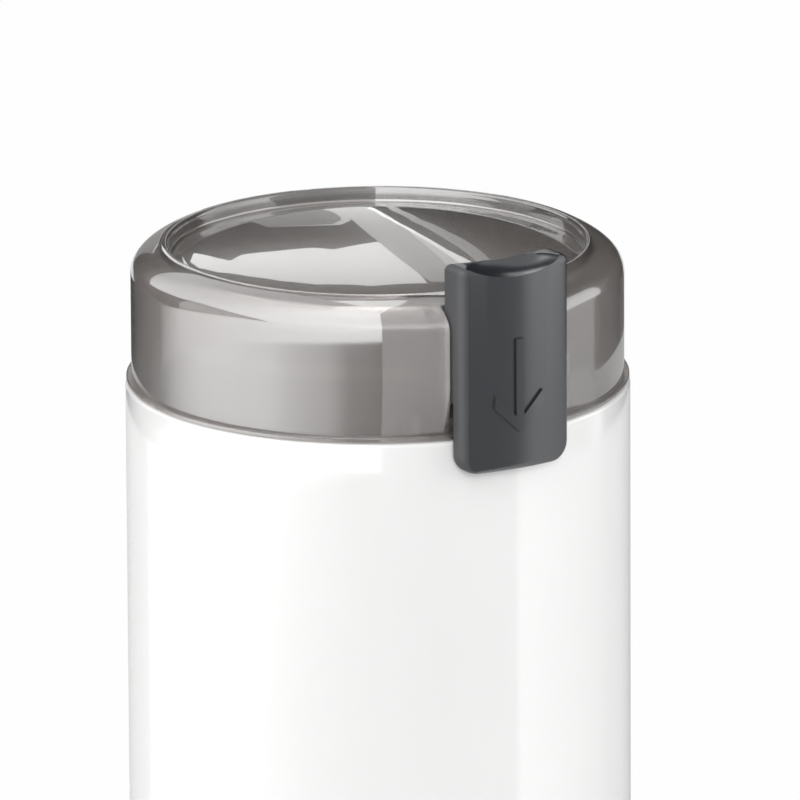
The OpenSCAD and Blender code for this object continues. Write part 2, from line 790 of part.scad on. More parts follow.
module terminal_block() {
    color("ivory") difference() {
        translate([-unit_w / 2, unit_y, terminal_z]) cube([unit_w, unit_d, terminal_h]);
        for (x = [-6, -2, 2, 6]) translate([x, unit_y + unit_d / 2, terminal_z + terminal_h - 3])
            cylinder(r = 1.4, h = 4);
    }
}

module mains_leads() {
    start_y = clamp_y - clamp_d / 2 - lead_r;
    color("sienna") for (x = [-1, 1]) tube(curve([
        [x * 1.6, start_y, gland_z - 3],
        [x * 2.2, start_y - 0.6, shelf_z],
        [x * 2.4, start_y - 4, terminal_z + terminal_h / 2],
        [x * 2.4, unit_y - lead_gap, terminal_z + terminal_h / 2]], 24), lead_r, 8, [1, 0, 0]);
}

module switch_leads() {
    high = switch_z + switch_h / 2;
    low = terminal_z + terminal_h / 2;
    start = asin((unit_w / 2 + lead_r) / lead_run);
    stop = asin((switch_w / 2 + lead_r) / lead_run);
    color("steelblue") for (k = [-2 * lead_r, 2 * lead_r])
        tube(around(lead_run, 90 + start, 270 - stop, low + k, high + k, 40), lead_r);
}

module motor_leads() {
    coil_x = window_x - 0.3 + lead_r;
    coil_z = stack_top + coil_over / 2;
    color("gold") {
        tube(curve([
            [switch_w / 2 + lead_r, -switch_out + switch_d / 2, switch_z + 3],
            [lead_pull, -lead_pull, switch_z + 4],
            [lead_run, -12, coil_z],
            [coil_x, -4, coil_z]], 24), lead_r);
        tube(curve([
            [unit_w / 2 + lead_r, unit_y + unit_d / 2, terminal_z + 3],
            [lead_pull, lead_pull, terminal_z + 4],
            [lead_run, 12, coil_z],
            [coil_x, 4, coil_z]], 24), lead_r);
    }
}

module brush_leads() {
    coil_x = window_x - 0.3 + lead_r;
    coil_z = stack_z - coil_over / 2;
    holder_x = brush_w / 2 + holder_wall + 0.1 + lead_r;
    color("firebrick") for (y = [-1, 1]) tube(curve([
        [-coil_x, y * 6, coil_z],
        [-lead_run, y * 12, coil_z - coil_over],
        [-holder_end, y * (holder_end + 8), brush_z],
        [-holder_x, y * (holder_end - 2), brush_z]], 24), lead_r);
}

module cord_gland() {
    neck = gland_bore + gland_wall;
    inside = body_in - 3.6;
    color("black") difference() {
        union() {
            translate([0, 0, gland_z]) rotate([-90, 0, 0]) {
                translate([0, 0, inside]) cylinder(r = neck, h = gland_end - inside);
                translate([0, 0, inside]) cylinder(r = neck + gland_flange, h = 2.4);
                difference() {
                    translate([0, 0, body_r - 2]) cylinder(r = neck + gland_flange, h = 4);
                    rotate([90, 0, 0]) cylinder(r = body_r + press_gap, h = 100, center = true, $fn = 180);
                }
            }
            intersection() {
                translate([-neck, 0, housing_z]) cube([2 * neck, body_r, gland_z - housing_z]);
                ring(body_r - press_gap, body_in + press_gap, gland_z, $fn = 180);
            }
        }
        translate([0, 0, gland_z]) rotate([-90, 0, 0]) cylinder(r = gland_bore, h = 2 * gland_end);
    }
}

module cord_clamp() {
    color("white") difference() {
        translate([-clamp_w / 2, clamp_y - clamp_d / 2, clamp_z])
            cube([clamp_w, clamp_d, clamp_h]);
        translate([-gland_bore, 0, clamp_z - over])
            cube([2 * gland_bore, 50, gland_z + gland_bore - clamp_z + over]);
        for (x = [-clamp_screw_x, clamp_screw_x]) translate([x, clamp_y, clamp_z - over])
            cylinder(r = clamp_screw_r + 0.2, h = clamp_h + 2 * over);
    }
}

module clamp_screws() {
    color("silver") for (x = [-clamp_screw_x, clamp_screw_x])
        translate([x, clamp_y, clamp_z + clamp_h]) rotate([180, 0, 0])
            screw(clamp_screw_r, clamp_h + clamp_screw_l, clamp_screw_r + 1, 1.4);
}

module base_plate() {
    vent_in = 11;
    vent_out = fan_r - 2;
    color("white") difference() {
        union() {
            translate([0, 0, foot_proud]) cylinder(r = body_in - plate_clear, h = base_t, $fn = 180);
            for (x = [-clamp_screw_x, clamp_screw_x]) translate([x, clamp_y, base_top - bite])
                cylinder(r = clamp_post_r, h = clamp_z - base_top + bite);
            translate([-4, clamp_y - clamp_d / 2, base_top - bite])
                cube([8, clamp_d, gland_z - gland_bore - base_top + bite]);
        }
        for (x = [-clamp_screw_x, clamp_screw_x]) translate([x, clamp_y, base_top])
            cylinder(r = clamp_screw_r + thread_gap, h = clamp_z);
        for (i = [0:vents - 1]) rotate([0, 0, 360 * (i + 0.5) / vents])
            translate([vent_in, -vent_w / 2, foot_proud - over])
                cube([vent_out - vent_in, vent_w, base_t + 2 * over]);
        for (a = [0:90:270]) rotate([0, 0, a]) translate([foot_ring, 0, foot_proud - over])
            cylinder(r = foot_r + plate_clear, h = over + foot_seat);
        at_corners(boss_ring) translate([0, 0, foot_proud - over]) {
            cylinder(r = screw_r + 1.5, h = over + 1.5);
            cylinder(r = screw_r + 0.2, h = base_t + 2 * over);
        }
    }
}

module base_screws() {
    color("silver") at_corners(boss_ring) translate([0, 0, foot_proud + 1.5])
        screw(screw_r, screw_l, screw_r + 1.3, 1.3);
}

module rubber_feet() {
    color("dimgray") for (a = [0:90:270]) rotate([0, 0, a]) translate([foot_ring, 0, 0]) {
        cylinder(r = foot_r, h = foot_proud + foot_seat);
    }
}

// The lid's outside, from its lower edge up to its middle
lid_outside = concat(
    [[0, lid_bottom], [rim_r, lid_bottom], [rim_r, lid_bottom + rim_h]],
    ellipse_arc([rim_r, lid_bottom + rim_h + flare_h], rim_out, flare_h, 210, 180, 3),
    ellipse_arc([lid_r - shoulder_w, shoulder_z], shoulder_w, shoulder_rise, 0, crest_angle, 10),
    [[crest_r - groove_w / 2, crest_z - groove_deep]],
    dome_arc(dome_r, dome_z, dome_rise, 10));

// The ring-shaped hollow between the skirt and the wall
module lid_ring_hollow() {
    inner_w = shoulder_w - lid_wall;
    inner_rise = shoulder_rise - lid_wall - groove_deep / 2;
    stop = acos((skirt_out - lid_r + shoulder_w) / inner_w);
    rotate_extrude($fn = 180) polygon(concat(
        [[skirt_out, lid_bottom - over], [lid_r - lid_wall, lid_bottom - over]],
        ellipse_arc([lid_r - shoulder_w, shoulder_z], inner_w, inner_rise, 0, stop, 8)));
}

// A flat cheek that runs from the round wall to the button's pocket
module cheek() {
    length = (lid_r * sin(cheek_angle) - half_pocket) / cos(cheek_angle);
    stop = acos((pocket_back - lid_r + shoulder_w) / shoulder_w);
    rotate([0, 0, cheek_angle - 90]) rotate([90, 0, 0]) linear_extrude(length + bite)
        polygon(concat([[pocket_back, lid_bottom + rim_h + flare_h / 2],
            [lid_r, lid_bottom + rim_h + flare_h / 2]],
            ellipse_arc([lid_r - shoulder_w, shoulder_z], shoulder_w, shoulder_rise, 0, stop, 10)));
}

module lid_cover() {
    ledge_z = seal_z + seal_h;
    pocket_side = half_pocket + pocket_wall;
    color([0.45, 0.42, 0.4, 0.6]) difference() {
        union() {
            difference() {
                union() {
                    rotate_extrude($fn = 180) polygon(lid_outside);
                    cheek();
                    mirror([1, 0, 0]) cheek();
                }
                rotate_extrude($fn = 180) polygon(concat(
                    [[0, lid_bottom - over], [skirt_in, lid_bottom - over]],
                    dome_arc(skirt_in, dome_z - lid_wall, dome_rise, 8)));
                difference() {
                    lid_ring_hollow();
                    translate([-pocket_side, -body_r, pocket_floor - pocket_wall])
                        cube([2 * pocket_side, body_r, 60]);
                }
            }
            translate([0, 0, ledge_z]) ring(skirt_in + bite, skirt_in - seal_w, 1.2);
            for (x = [-spring_x, spring_x]) translate([x, -spring_y, pocket_floor - bite])
                cylinder(r = 0.9, h = 2);
        }
        difference() {
            translate([-half_pocket, -panel_out - over, pocket_floor])
                cube([2 * half_pocket, panel_out + over, 60]);
            cylinder(r = pocket_back, h = 300);
            translate([0, 0, step_z + button_clear]) cylinder(r = top_back - button_clear, h = 60);
            for (x = [-spring_x, spring_x]) translate([x, -spring_y, pocket_floor - bite])
                cylinder(r = 0.9, h = 2);
        }
        for (x = [-1, 1]) translate([x * (half_pocket + pocket_wall / 2), -rod_y, 0])
            translate([-pocket_wall / 2 - 0.5, -2, pocket_floor])
                cube([pocket_wall + 1, 4, button_travel + 0.4 + toe_h + 0.3]);
        translate([0, -rod_y, lid_bottom - over]) cylinder(r = rod_r + rod_clear, h = 10);
    }
}

module lid_seal() {
    color("gainsboro") translate([0, 0, seal_z])
        ring(skirt_in - press_gap, skirt_in - seal_w, seal_h);
}

// The arrow's outline, with its point down
module arrow_outline() {
    half = arrow_w / 2;
    slope = atan2(arrow_head_h - arrow_stroke, half);
    thick = arrow_stroke / cos(slope);
    rise = half * tan(slope);
    end = half - 0.5 * sin(slope);
    translate([-arrow_shaft / 2, arrow_tip + thick / 2])
        square([arrow_shaft, arrow_top - arrow_tip - thick / 2]);
    polygon([[0, arrow_tip], [half, arrow_tip + rise], [end, arrow_tip + rise + thick],
        [0, arrow_tip + thick], [-end, arrow_tip + rise + thick], [-half, arrow_tip + rise]]);
}

module panel_outline() {
    low = seam_h - button_drop;
    high = button_top;
    translate([-half_button, low + panel_corner])
        square([button_w, high - low - panel_corner - panel_top_corner]);
    translate([-half_button + panel_corner, low])
        square([button_w - 2 * panel_corner, panel_corner + bite]);
    translate([-half_button + panel_top_corner, high - panel_top_corner - bite])
        square([button_w - 2 * panel_top_corner, panel_top_corner + bite]);
    for (x = [-1, 1]) {
        translate([x * (half_button - panel_corner), low + panel_corner]) circle(panel_corner);
        translate([x * (half_button - panel_top_corner), high - panel_top_corner])
            circle(panel_top_corner);
    }
}

module button_cap() {
    color("dimgray") difference() {
        union() {
            intersection() {
                rotate([90, 0, 0]) linear_extrude(panel_out + over) panel_outline();
                ring(panel_out, panel_in, button_top + over);
            }
            front_sector(half_button, panel_in + bite, block_back, block_z, step_z);
            front_sector(half_button, panel_in + bite, top_back, step_z - bite, button_top);
            intersection() {
                rotate([90, 0, 0]) linear_extrude(panel_out + over)
                    translate([0, seam_h]) arrow_outline();
                ring(panel_out + arrow_raise, panel_in + bite, button_top + over);
            }
            for (x = [-1, 1]) translate([x * half_button - toe_w, -rod_y - 1.6, block_z])
                cube([2 * toe_w, 3.2, toe_h]);
        }
        translate([0, -panel_out, button_top + dish_sphere - dish_deep])
            scale([1, dish_share, 1]) sphere(dish_sphere, $fn = 96);
        for (x = [-spring_x, spring_x]) translate([x, -spring_y, block_z - over])
            cylinder(r = spring_bore, h = spring_bore_deep + over);
        translate([0, -rod_y, block_z - over])
            cylinder(r = rod_r + press_gap, h = plunger_seat + over);
    }
}

module button_plunger() {
    color("white") translate([0, -rod_y, plunger_z])
        cylinder(r = rod_r, h = block_z + plunger_seat - plunger_z);
}

module button_springs() {
    color("silver") for (x = [-spring_x, spring_x]) translate([x, -spring_y, pocket_floor])
        coil(spring_bore - 0.4 - spring_wire, spring_wire,
            block_z + spring_bore_deep - pocket_floor, spring_turns);
}

module switch_rod() {
    rod_top = plunger_z - rod_gap;
    foot_in = switch_pin_y - switch_pin_r - 0.4;
    color("ivory") {
        translate([0, -rod_y, rod_foot_z]) cylinder(r = rod_r, h = rod_top - rod_foot_z);
        translate([0, -rod_y, deck_bottom - 1.2]) cylinder(r = rod_r + 0.4, h = 1);
        translate([-2.4, -rod_y - rod_r, rod_foot_z])
            cube([4.8, rod_y + rod_r - foot_in, foot_plate_t]);
    }
}

module switch_plunger() {
    color("orangered") translate([0, -switch_pin_y, switch_z + switch_h - 6])
        cylinder(r = switch_pin_r, h = 6 + switch_stroke);
}

module blade_outline() {
    straight = blade_r - tip_l;
    polygon([[0, -blade_w / 2], [straight, -blade_tip_w / 2], [straight, blade_tip_w / 2 - 1],
        [0, blade_w / 2]]);
}

module grinding_blade() {
    straight = blade_r - tip_l;
    color("silver") difference() {
        union() {
            for (s = [-1, 1]) rotate([0, 0, s * 90 - 90]) {
                translate([0, 0, blade_z]) linear_extrude(blade_t) blade_outline();
                translate([straight - 0.2, 0, blade_z + (s > 0 ? 0 : blade_t)])
                    rotate([0, -s * tip_angle, 0]) translate([0, 0, s > 0 ? 0 : -blade_t])
                        linear_extrude(blade_t) polygon([[0, -blade_tip_w / 2],
                            [tip_l - 3, -blade_tip_w / 2], [tip_l, blade_tip_w / 2 - 1],
                            [0, blade_tip_w / 2 - 1]]);
            }
            translate([0, 0, blade_z]) cylinder(r = blade_w / 2, h = blade_t);
        }
        translate([0, 0, blade_z - over]) cylinder(r = shaft_r + press_gap, h = blade_t + 2 * over);
    }
}

module blade_collar() {
    low = bowl_floor + bowl_t + seal_top + 0.6;
    color("gainsboro") translate([0, 0, low]) ring(shaft_r + 2.6, shaft_r + press_gap, blade_z - low);
}

module blade_nut() {
    color("silver") difference() {
        union() {
            translate([0, 0, nut_z]) cylinder(d = nut_w / cos(30), h = nut_h, $fn = 6);
            translate([0, 0, nut_z + nut_h]) cylinder(r = nut_w / 2 - 0.6, h = 1);
        }
        translate([0, 0, nut_z - over]) cylinder(r = shaft_r + press_gap, h = over + nut_h - 0.5);
    }
}

module motor_shaft() {
    low = fan_z - 1;
    color("silver") translate([0, 0, low]) cylinder(r = shaft_r, h = nut_z + nut_h - 0.7 - low);
}

module armature_core() {
    slot_deep = 5;
    color("slategray") translate([0, 0, stack_z]) linear_extrude(stack_h) difference() {
        circle(armature_r);
        circle(shaft_r + press_gap);
        for (i = [0:slots - 1]) rotate(360 * i / slots)
            translate([armature_r - slot_deep, -slot_w / 2]) square([slot_deep + over, slot_w]);
    }
}

module armature_winding() {
    slot_deep = 5;
    color("peru") {
        for (z = [stack_z - end_turns, stack_top + 0.1]) translate([0, 0, z])
            ring(armature_r - 2, shaft_r + 2, end_turns - 0.1);
        for (i = [0:slots - 1]) rotate([0, 0, 360 * i / slots])
            translate([armature_r - slot_deep + 0.2, -slot_w / 2 + 0.2, stack_z - over])
                cube([slot_deep - 2.4, slot_w - 0.4, stack_h + 2 * over]);
    }
}

module commutator() {
    groove = 0.4;
    color("peru") translate([0, 0, comm_top - comm_h]) difference() {
        cylinder(r = comm_r, h = comm_h);
        translate([0, 0, -over]) cylinder(r = shaft_r + press_gap, h = comm_h + 2 * over);
        for (i = [0:comm_bars - 1]) rotate([0, 0, 360 * i / comm_bars])
            translate([comm_r - 0.8, -groove / 2, -over]) cube([over + 1, groove, comm_h + 2 * over]);
    }
}

module cooling_fan() {
    disc_t = 1.5;
    hub_r = 6;
    color("white") difference() {
        union() {
            translate([0, 0, fan_top - disc_t]) cylinder(r = fan_r, h = disc_t);
            translate([0, 0, fan_z]) cylinder(r = hub_r, h = fan_h);
            intersection() {
                translate([0, 0, fan_z]) cylinder(r = fan_r, h = fan_h);
                for (i = [0:fan_vanes - 1]) rotate([0, 0, 360 * i / fan_vanes])
                    translate([hub_r - 1, 0, fan_z]) rotate([0, 0, 15])
                        translate([0, -0.6, 0]) cube([fan_r, 1.2, fan_h]);
            }
        }
        translate([0, 0, fan_z - over]) cylinder(r = shaft_r + press_gap, h = fan_h + 2 * over);
    }
}

outer_housing();
bowl_carrier();
grinding_bowl();
bowl_gasket();
shaft_seal();
carrier_screws();
motor_top_bracket();
motor_bottom_bracket();
upper_bush();
lower_bush();
stator_core();
field_coils();
brush_holders();
carbon_brushes();
brush_springs();
motor_bolts();
motor_dampers();
switch_case();
switch_bracket();
switch_screws();
suppression_capacitor();
terminal_block();
mains_leads();
switch_leads();
motor_leads();
brush_leads();
cord_gland();
cord_clamp();
clamp_screws();
base_plate();
base_screws();
rubber_feet();
lid_cover();
lid_seal();
button_cap();
button_plunger();
button_springs();
switch_rod();
switch_plunger();
grinding_blade();
blade_collar();
blade_nut();
motor_shaft();
armature_core();
armature_winding();
commutator();
cooling_fan();
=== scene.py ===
import json
from math import acos, asin, atan2, cos, degrees, hypot, pi, radians, sin, sqrt, tan

import bmesh
import bpy
from mathutils import Matrix, Vector


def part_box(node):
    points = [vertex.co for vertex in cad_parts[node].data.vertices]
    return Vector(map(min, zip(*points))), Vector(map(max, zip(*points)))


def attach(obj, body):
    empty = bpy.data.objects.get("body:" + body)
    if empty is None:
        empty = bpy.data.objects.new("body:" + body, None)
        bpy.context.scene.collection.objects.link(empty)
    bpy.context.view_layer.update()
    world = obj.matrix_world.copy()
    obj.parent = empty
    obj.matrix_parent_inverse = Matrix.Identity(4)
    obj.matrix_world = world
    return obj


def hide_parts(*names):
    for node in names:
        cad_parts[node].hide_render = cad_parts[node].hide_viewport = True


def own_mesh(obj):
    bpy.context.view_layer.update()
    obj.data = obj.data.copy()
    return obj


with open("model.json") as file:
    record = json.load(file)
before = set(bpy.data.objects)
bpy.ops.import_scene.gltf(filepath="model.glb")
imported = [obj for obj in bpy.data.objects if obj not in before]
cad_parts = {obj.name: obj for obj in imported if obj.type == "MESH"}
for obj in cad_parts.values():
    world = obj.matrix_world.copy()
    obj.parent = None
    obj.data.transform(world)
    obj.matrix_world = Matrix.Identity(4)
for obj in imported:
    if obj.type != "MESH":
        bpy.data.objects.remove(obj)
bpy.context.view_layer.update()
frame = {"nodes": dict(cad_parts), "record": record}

mm = 0.001


def arc(cx, cz, rx, rz, startDeg, endDeg, steps):
    # points of an elliptic arc in the profile plane, in millimetres
    return [(cx + rx * cos(radians(startDeg + (endDeg - startDeg) * i / steps)),
             cz + rz * sin(radians(startDeg + (endDeg - startDeg) * i / steps)))
            for i in range(steps + 1)]


def domeArc(radius, z, rise, steps):
    # from the dome's edge in to its middle
    sphere = (radius * radius + rise * rise) / (2 * rise)
    points = []
    for i in range(steps + 1):
        q = radius * (1 - i / steps)
        points.append((q, z + rise - sphere + sqrt(sphere * sphere - q * q)))
    return points


def spinProfile(points, steps=180, closed=False):
    # turns a profile of (radius, height) points once round the upright axis
    bm = bmesh.new()
    verts = [bm.verts.new((r * mm, 0, z * mm)) for r, z in points]
    ends = verts[1:] + verts[:1] if closed else verts[1:]
    edges = [bm.edges.new(pair) for pair in zip(verts, ends)]
    bmesh.ops.spin(bm, geom=verts + edges, cent=(0, 0, 0), axis=(0, 0, 1),
                   angle=2 * pi, steps=steps, use_merge=True)
    settle(bm)
    return bm


def settle(bm):
    bmesh.ops.remove_doubles(bm, verts=bm.verts, dist=1e-6)
    bmesh.ops.recalc_face_normals(bm, faces=bm.faces)


def addBox(bm, low, high):
    size = [(b - a) * mm for a, b in zip(low, high)]
    middle = [(a + b) / 2 * mm for a, b in zip(low, high)]
    made = bmesh.ops.create_cube(bm, size=1)
    bmesh.ops.scale(bm, vec=size, verts=made["verts"])
    bmesh.ops.translate(bm, vec=middle, verts=made["verts"])


def addRod(bm, x, y, low, high, radius, segments=32):
    made = bmesh.ops.create_cone(bm, cap_ends=True, segments=segments, radius1=radius * mm,
                                 radius2=radius * mm, depth=(high - low) * mm)
    bmesh.ops.translate(bm, vec=(x * mm, y * mm, (low + high) / 2 * mm), verts=made["verts"])
    return made["verts"]


def roundEdges(bm, edges, width, segments=3):
    bmesh.ops.bevel(bm, geom=edges, offset=width * mm, offset_type="OFFSET", affect="EDGES",
                    segments=segments, profile=0.5, material=-1, clamp_overlap=True)


def roundCorners(bm, corners, width, segments=6):
    bmesh.ops.bevel(bm, geom=corners, offset=width * mm, offset_type="OFFSET", affect="VERTICES",
                    segments=segments, profile=0.5, material=-1, clamp_overlap=True)


def toObject(bm, name, sharpDeg=35):
    mesh = bpy.data.meshes.new(name)
    bm.to_mesh(mesh)
    bm.free()
    piece = bpy.data.objects.new(name, mesh)
    bpy.context.scene.collection.objects.link(piece)
    smooth(mesh, sharpDeg)
    return piece


def smooth(mesh, sharpDeg=35):
    for face in mesh.polygons:
        face.use_smooth = True
    mesh.set_sharp_from_angle(angle=radians(sharpDeg))


def join(piece, others):
    # adds the meshes of other objects to a piece and removes those objects
    bm = bmesh.new()
    bm.from_mesh(piece.data)
    for other in others:
        bm.from_mesh(other.data)
        bpy.data.objects.remove(other)
    bm.to_mesh(piece.data)
    bm.free()


def combine(piece, tools, operation="DIFFERENCE"):
    # applies Boolean tools to a piece and removes them
    for tool in tools:
        step = piece.modifiers.new("cut", "BOOLEAN")
        step.operation = operation
        step.object = tool
        step.solver = "EXACT"
        tool.hide_render = True
    bpy.context.view_layer.update()
    applied = piece.evaluated_get(bpy.context.evaluated_depsgraph_get())
    result = bpy.data.meshes.new_from_object(applied)
    piece.modifiers.clear()
    old = piece.data
    piece.data = result
    bpy.data.meshes.remove(old)
    for tool in tools:
        bpy.data.objects.remove(tool)


def place(piece, body, slot, nodes):
    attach(piece, body)
    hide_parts(*nodes)
    piece.data.materials.clear()
    piece.data.materials.append(finishes[slot])
    return piece


class Socket:
    # wraps an output, so that masks are written as sums
    def __init__(self, finish, output):
        self.finish, self.output = finish, output

    def math(self, operation, *values):
        return self.finish.node("ShaderNodeMath", {"operation": operation}, dict(enumerate(values)))

    def __add__(self, other): return self.math("ADD", self, other)
    def __radd__(self, other): return self.math("ADD", other, self)
    def __sub__(self, other): return self.math("SUBTRACT", self, other)
    def __mul__(self, other): return self.math("MULTIPLY", self, other)

    def ramp(self, low, high, bottom=0.0, top=1.0):
        return self.finish.node("ShaderNodeMapRange", {"interpolation_type": "SMOOTHSTEP"},
                                {0: self, 1: low, 2: high, 3: bottom, 4: top})


class Finish:
    def __init__(self, name, **constants):
        self.material = bpy.data.materials.new(name)
        self.material.use_nodes = True
        self.tree = self.material.node_tree
        self.tree.nodes.clear()
        self.target = self.tree.nodes.new("ShaderNodeOutputMaterial")
        self.shader = self.tree.nodes.new("ShaderNodeBsdfPrincipled")
        self.send(Socket(self, self.shader.outputs[0]))
        self.place = self.node("ShaderNodeTexCoord", output="Object")
        self.set(**constants)

    def node(self, kind, settings=None, inputs=None, output=0):
        made = self.tree.nodes.new(kind)
        for key, value in (settings or {}).items():
            if key == "stops":
                self.fillRamp(made.color_ramp, value)
            else:
                setattr(made, key, value)
        for key, value in (inputs or {}).items():
            if isinstance(value, Socket):
                self.tree.links.new(value.output, made.inputs[key])
            else:
                made.inputs[key].default_value = value
        return Socket(self, made.outputs[output])

    def send(self, socket, end="Surface"):
        self.tree.links.new(socket.output, self.target.inputs[end])

    def mixShaders(self, mask, second):
        # the second shader takes over where the mask is 1
        first = Socket(self, self.shader.outputs[0])
        self.send(self.node("ShaderNodeMixShader", None, {0: mask, 1: first, 2: second}))

    def fillRamp(self, ramp, stops):
        while len(ramp.elements) < len(stops):
            ramp.elements.new(0.5)
        for element, (position, colour) in zip(ramp.elements, stops):
            element.position, element.color = position, colour

    def set(self, **values):
        for key, value in values.items():
            socket = self.shader.inputs[key.replace("_", " ")]
            if isinstance(value, Socket):
                self.tree.links.new(value.output, socket)
            else:
                socket.default_value = value

    def noise(self, scale, detail=2.0, rough=0.5, stretch=(1, 1, 1)):
        spot = self.node("ShaderNodeMapping", None, {0: self.place, 3: stretch})
        return self.node("ShaderNodeTexNoise", None,
                         {"Vector": spot, "Scale": scale, "Detail": detail, "Roughness": rough})

    def along(self, axis):
        # how far along an axis of the CAD frame, in metres
        return self.node("ShaderNodeSeparateXYZ", None, {0: self.place}, output="xyz".index(axis))

    def blend(self, mask, first, second):
        # the Mix node keeps its two colours in sockets 6 and 7, and gives a colour from output 2
        return self.node("ShaderNodeMix", {"data_type": "RGBA"}, {0: mask, 6: first, 7: second}, output=2)

    def bump(self, height, strength, distance):
        return self.node("ShaderNodeBump", None, {"Height": height, "Strength": strength, "Distance": distance})


def shade(colour, share):
    # the colour made darker or lighter, with its alpha
    return tuple(min(1, c * share) for c in colour) + (1,)


# noise scales, for places in metres
cloudScale, grainScale = 26, 900


def mouldedPlastic(name, colour, rough, coat=0.0, depth=0.00001, shift=0.04):
    # a moulded colour with a faint cloud in its tone, fine grain and a slow waviness
    finish = Finish(name, Coat_Weight=coat, Coat_Roughness=0.03, IOR=1.5)
    cloud = finish.noise(cloudScale, 3)
    fine = finish.noise(grainScale, 2)
    low, high = shade(colour, 1 - shift), shade(colour, 1 + shift * 0.5)
    finish.set(Base_Color=finish.blend(cloud.ramp(0.3, 0.7), low, high),
               Roughness=rough + (fine - 0.5) * rough * 0.35,
               Normal=finish.bump(fine * 0.4 + cloud, 0.35, depth))
    return finish.material


def bareMetal(name, colour, rough, stretch=(1, 1, 1), scale=300, depth=0.00001):
    # fine drawn or ground lines over a slow change of tone
    finish = Finish(name, Metallic=1.0)
    lines = finish.noise(scale, 4, 0.6, stretch)
    cloud = finish.noise(40, 2)
    low, high = shade(colour, 0.86), shade(colour, 1.06)
    finish.set(Base_Color=finish.blend((lines * 0.6 + cloud * 0.4).ramp(0.3, 0.7), low, high),
               Roughness=rough + (lines - 0.5) * rough * 0.6,
               Normal=finish.bump(lines, 0.4, depth))
    return finish.material


def softRubber(name, colour, rough=0.55):
    finish = Finish(name, IOR=1.45)
    fine = finish.noise(700, 3)
    finish.set(Base_Color=finish.blend(fine.ramp(0.35, 0.65), shade(colour, 0.85), shade(colour, 1.1)),
               Roughness=rough + (fine - 0.5) * 0.2,
               Normal=finish.bump(fine, 0.5, 0.00002))
    return finish.material


def ringLines(finish, pitch):
    # turned or stacked lines that follow the height
    angle = finish.along("z") * (2 * pi / pitch)
    return angle.math("SINE", angle)


def stackedSteel(name, colour, sheet=0.0005):
    # thin sheets, one on the other
    finish = Finish(name, Metallic=1.0)
    lines = ringLines(finish, sheet)
    cloud = finish.noise(120, 3)
    mask = (lines * 0.35 + cloud * 0.65).ramp(0.1, 0.6)
    finish.set(Base_Color=finish.blend(mask, shade(colour, 0.6), shade(colour, 1)),
               Roughness=0.42 + (cloud - 0.5) * 0.2,
               Normal=finish.bump(lines, 0.5, 0.00004))
    return finish.material


def woundWire(name, colour, wire=0.0009):
    finish = Finish(name, Metallic=0.7)
    lines = ringLines(finish, wire)
    cloud = finish.noise(200, 2)
    mask = (lines * 0.5 + cloud * 0.5).ramp(0.0, 0.7)
    finish.set(Base_Color=finish.blend(mask, shade(colour, 0.45), shade(colour, 1)),
               Roughness=0.35 + (cloud - 0.5) * 0.2,
               Normal=finish.bump(lines, 0.7, 0.00012))
    return finish.material


slate = {
    "low": (0.0169, 0.0191, 0.023, 1), "high": (0.0185, 0.0209, 0.0252, 1),
    # the left side's colour is painted shade, standing in for the shadow on that side
    "side": (0.004, 0.0045, 0.0055, 1),
    "shadedSideFrom": -0.0094, "shadedSideTo": -0.009,    # where the dull side with its painted shade ends, along x in metres
    "rough": 0.22, "sideRough": 0.45,
}


def slatePlastic(name):
    # the button's dark plastic, duller on its left side, where painted shade also darkens its colour
    finish = Finish(name, IOR=1.5, Specular_IOR_Level=0.8)
    cloud, fine = finish.noise(cloudScale, 3), finish.noise(grainScale, 2)
    side = finish.along("x").ramp(slate["shadedSideFrom"], slate["shadedSideTo"], 1.0, 0.0)
    tone = finish.blend(cloud.ramp(0.3, 0.7), slate["low"], slate["high"])
    # towards the left side the colour blends to painted shade, and the roughness rises
    finish.set(Base_Color=finish.blend(side * 0.75, tone, slate["side"]),
               Roughness=slate["rough"] + side * slate["sideRough"] + (fine - 0.5) * 0.077,
               Normal=finish.bump(fine * 0.4 + cloud, 0.35, 0.00001))
    return finish.material


smoke = {
    "tint": (0.50, 0.472, 0.46),
    "depth": (0.40, 0.36, 0.33),    # colour that deep plastic tends to
    "density": 130,                 # a metre, for that colour
    "haze": 0.08,                   # share of the plastic that looks solid
    "rough": 0.24,
    "gloss": 1.9,                   # refraction of the outer coat
    "dullLow": 0.13883, "dullHigh": 0.13917, "dullEdge": 0.00005,    # the dull ledge's heights in metres
    "shadow": (0.95, 0.95, 0.95, 1),
}


def smokedPlastic(name):
    finish = Finish(name, IOR=1.5, Transmission_Weight=1 - smoke["haze"], Coat_Weight=1.0, Coat_Roughness=0.02,
                    Coat_IOR=smoke["gloss"])
    cloud = finish.noise(18, 2)
    # the ledge over the rim is dull, so that it shows as a thin dark line
    height, edge = finish.along("z"), smoke["dullEdge"]
    above = height.ramp(smoke["dullHigh"] - edge, smoke["dullHigh"] + edge)
    below = height.ramp(smoke["dullLow"] - edge, smoke["dullLow"] + edge, 1.0, 0.0)
    low, high = shade(smoke["tint"], 0.97), shade(smoke["tint"], 1)
    finish.set(Base_Color=finish.blend(cloud.ramp(0.3, 0.7), low, high),
               Coat_Weight=above + below,
               Roughness=smoke["rough"] + cloud * 0.02,
               Normal=finish.bump(cloud, 0.1, 0.0002))
    clear = finish.node("ShaderNodeBsdfTransparent", None, {"Color": smoke["shadow"]})
    path = finish.node("ShaderNodeLightPath", output="Is Shadow Ray")
    finish.mixShaders(path, clear)
    deep = finish.node("ShaderNodeVolumeAbsorption", None,
                       {"Color": smoke["depth"] + (1,), "Density": smoke["density"]})
    finish.send(deep, "Volume")
    return finish.material


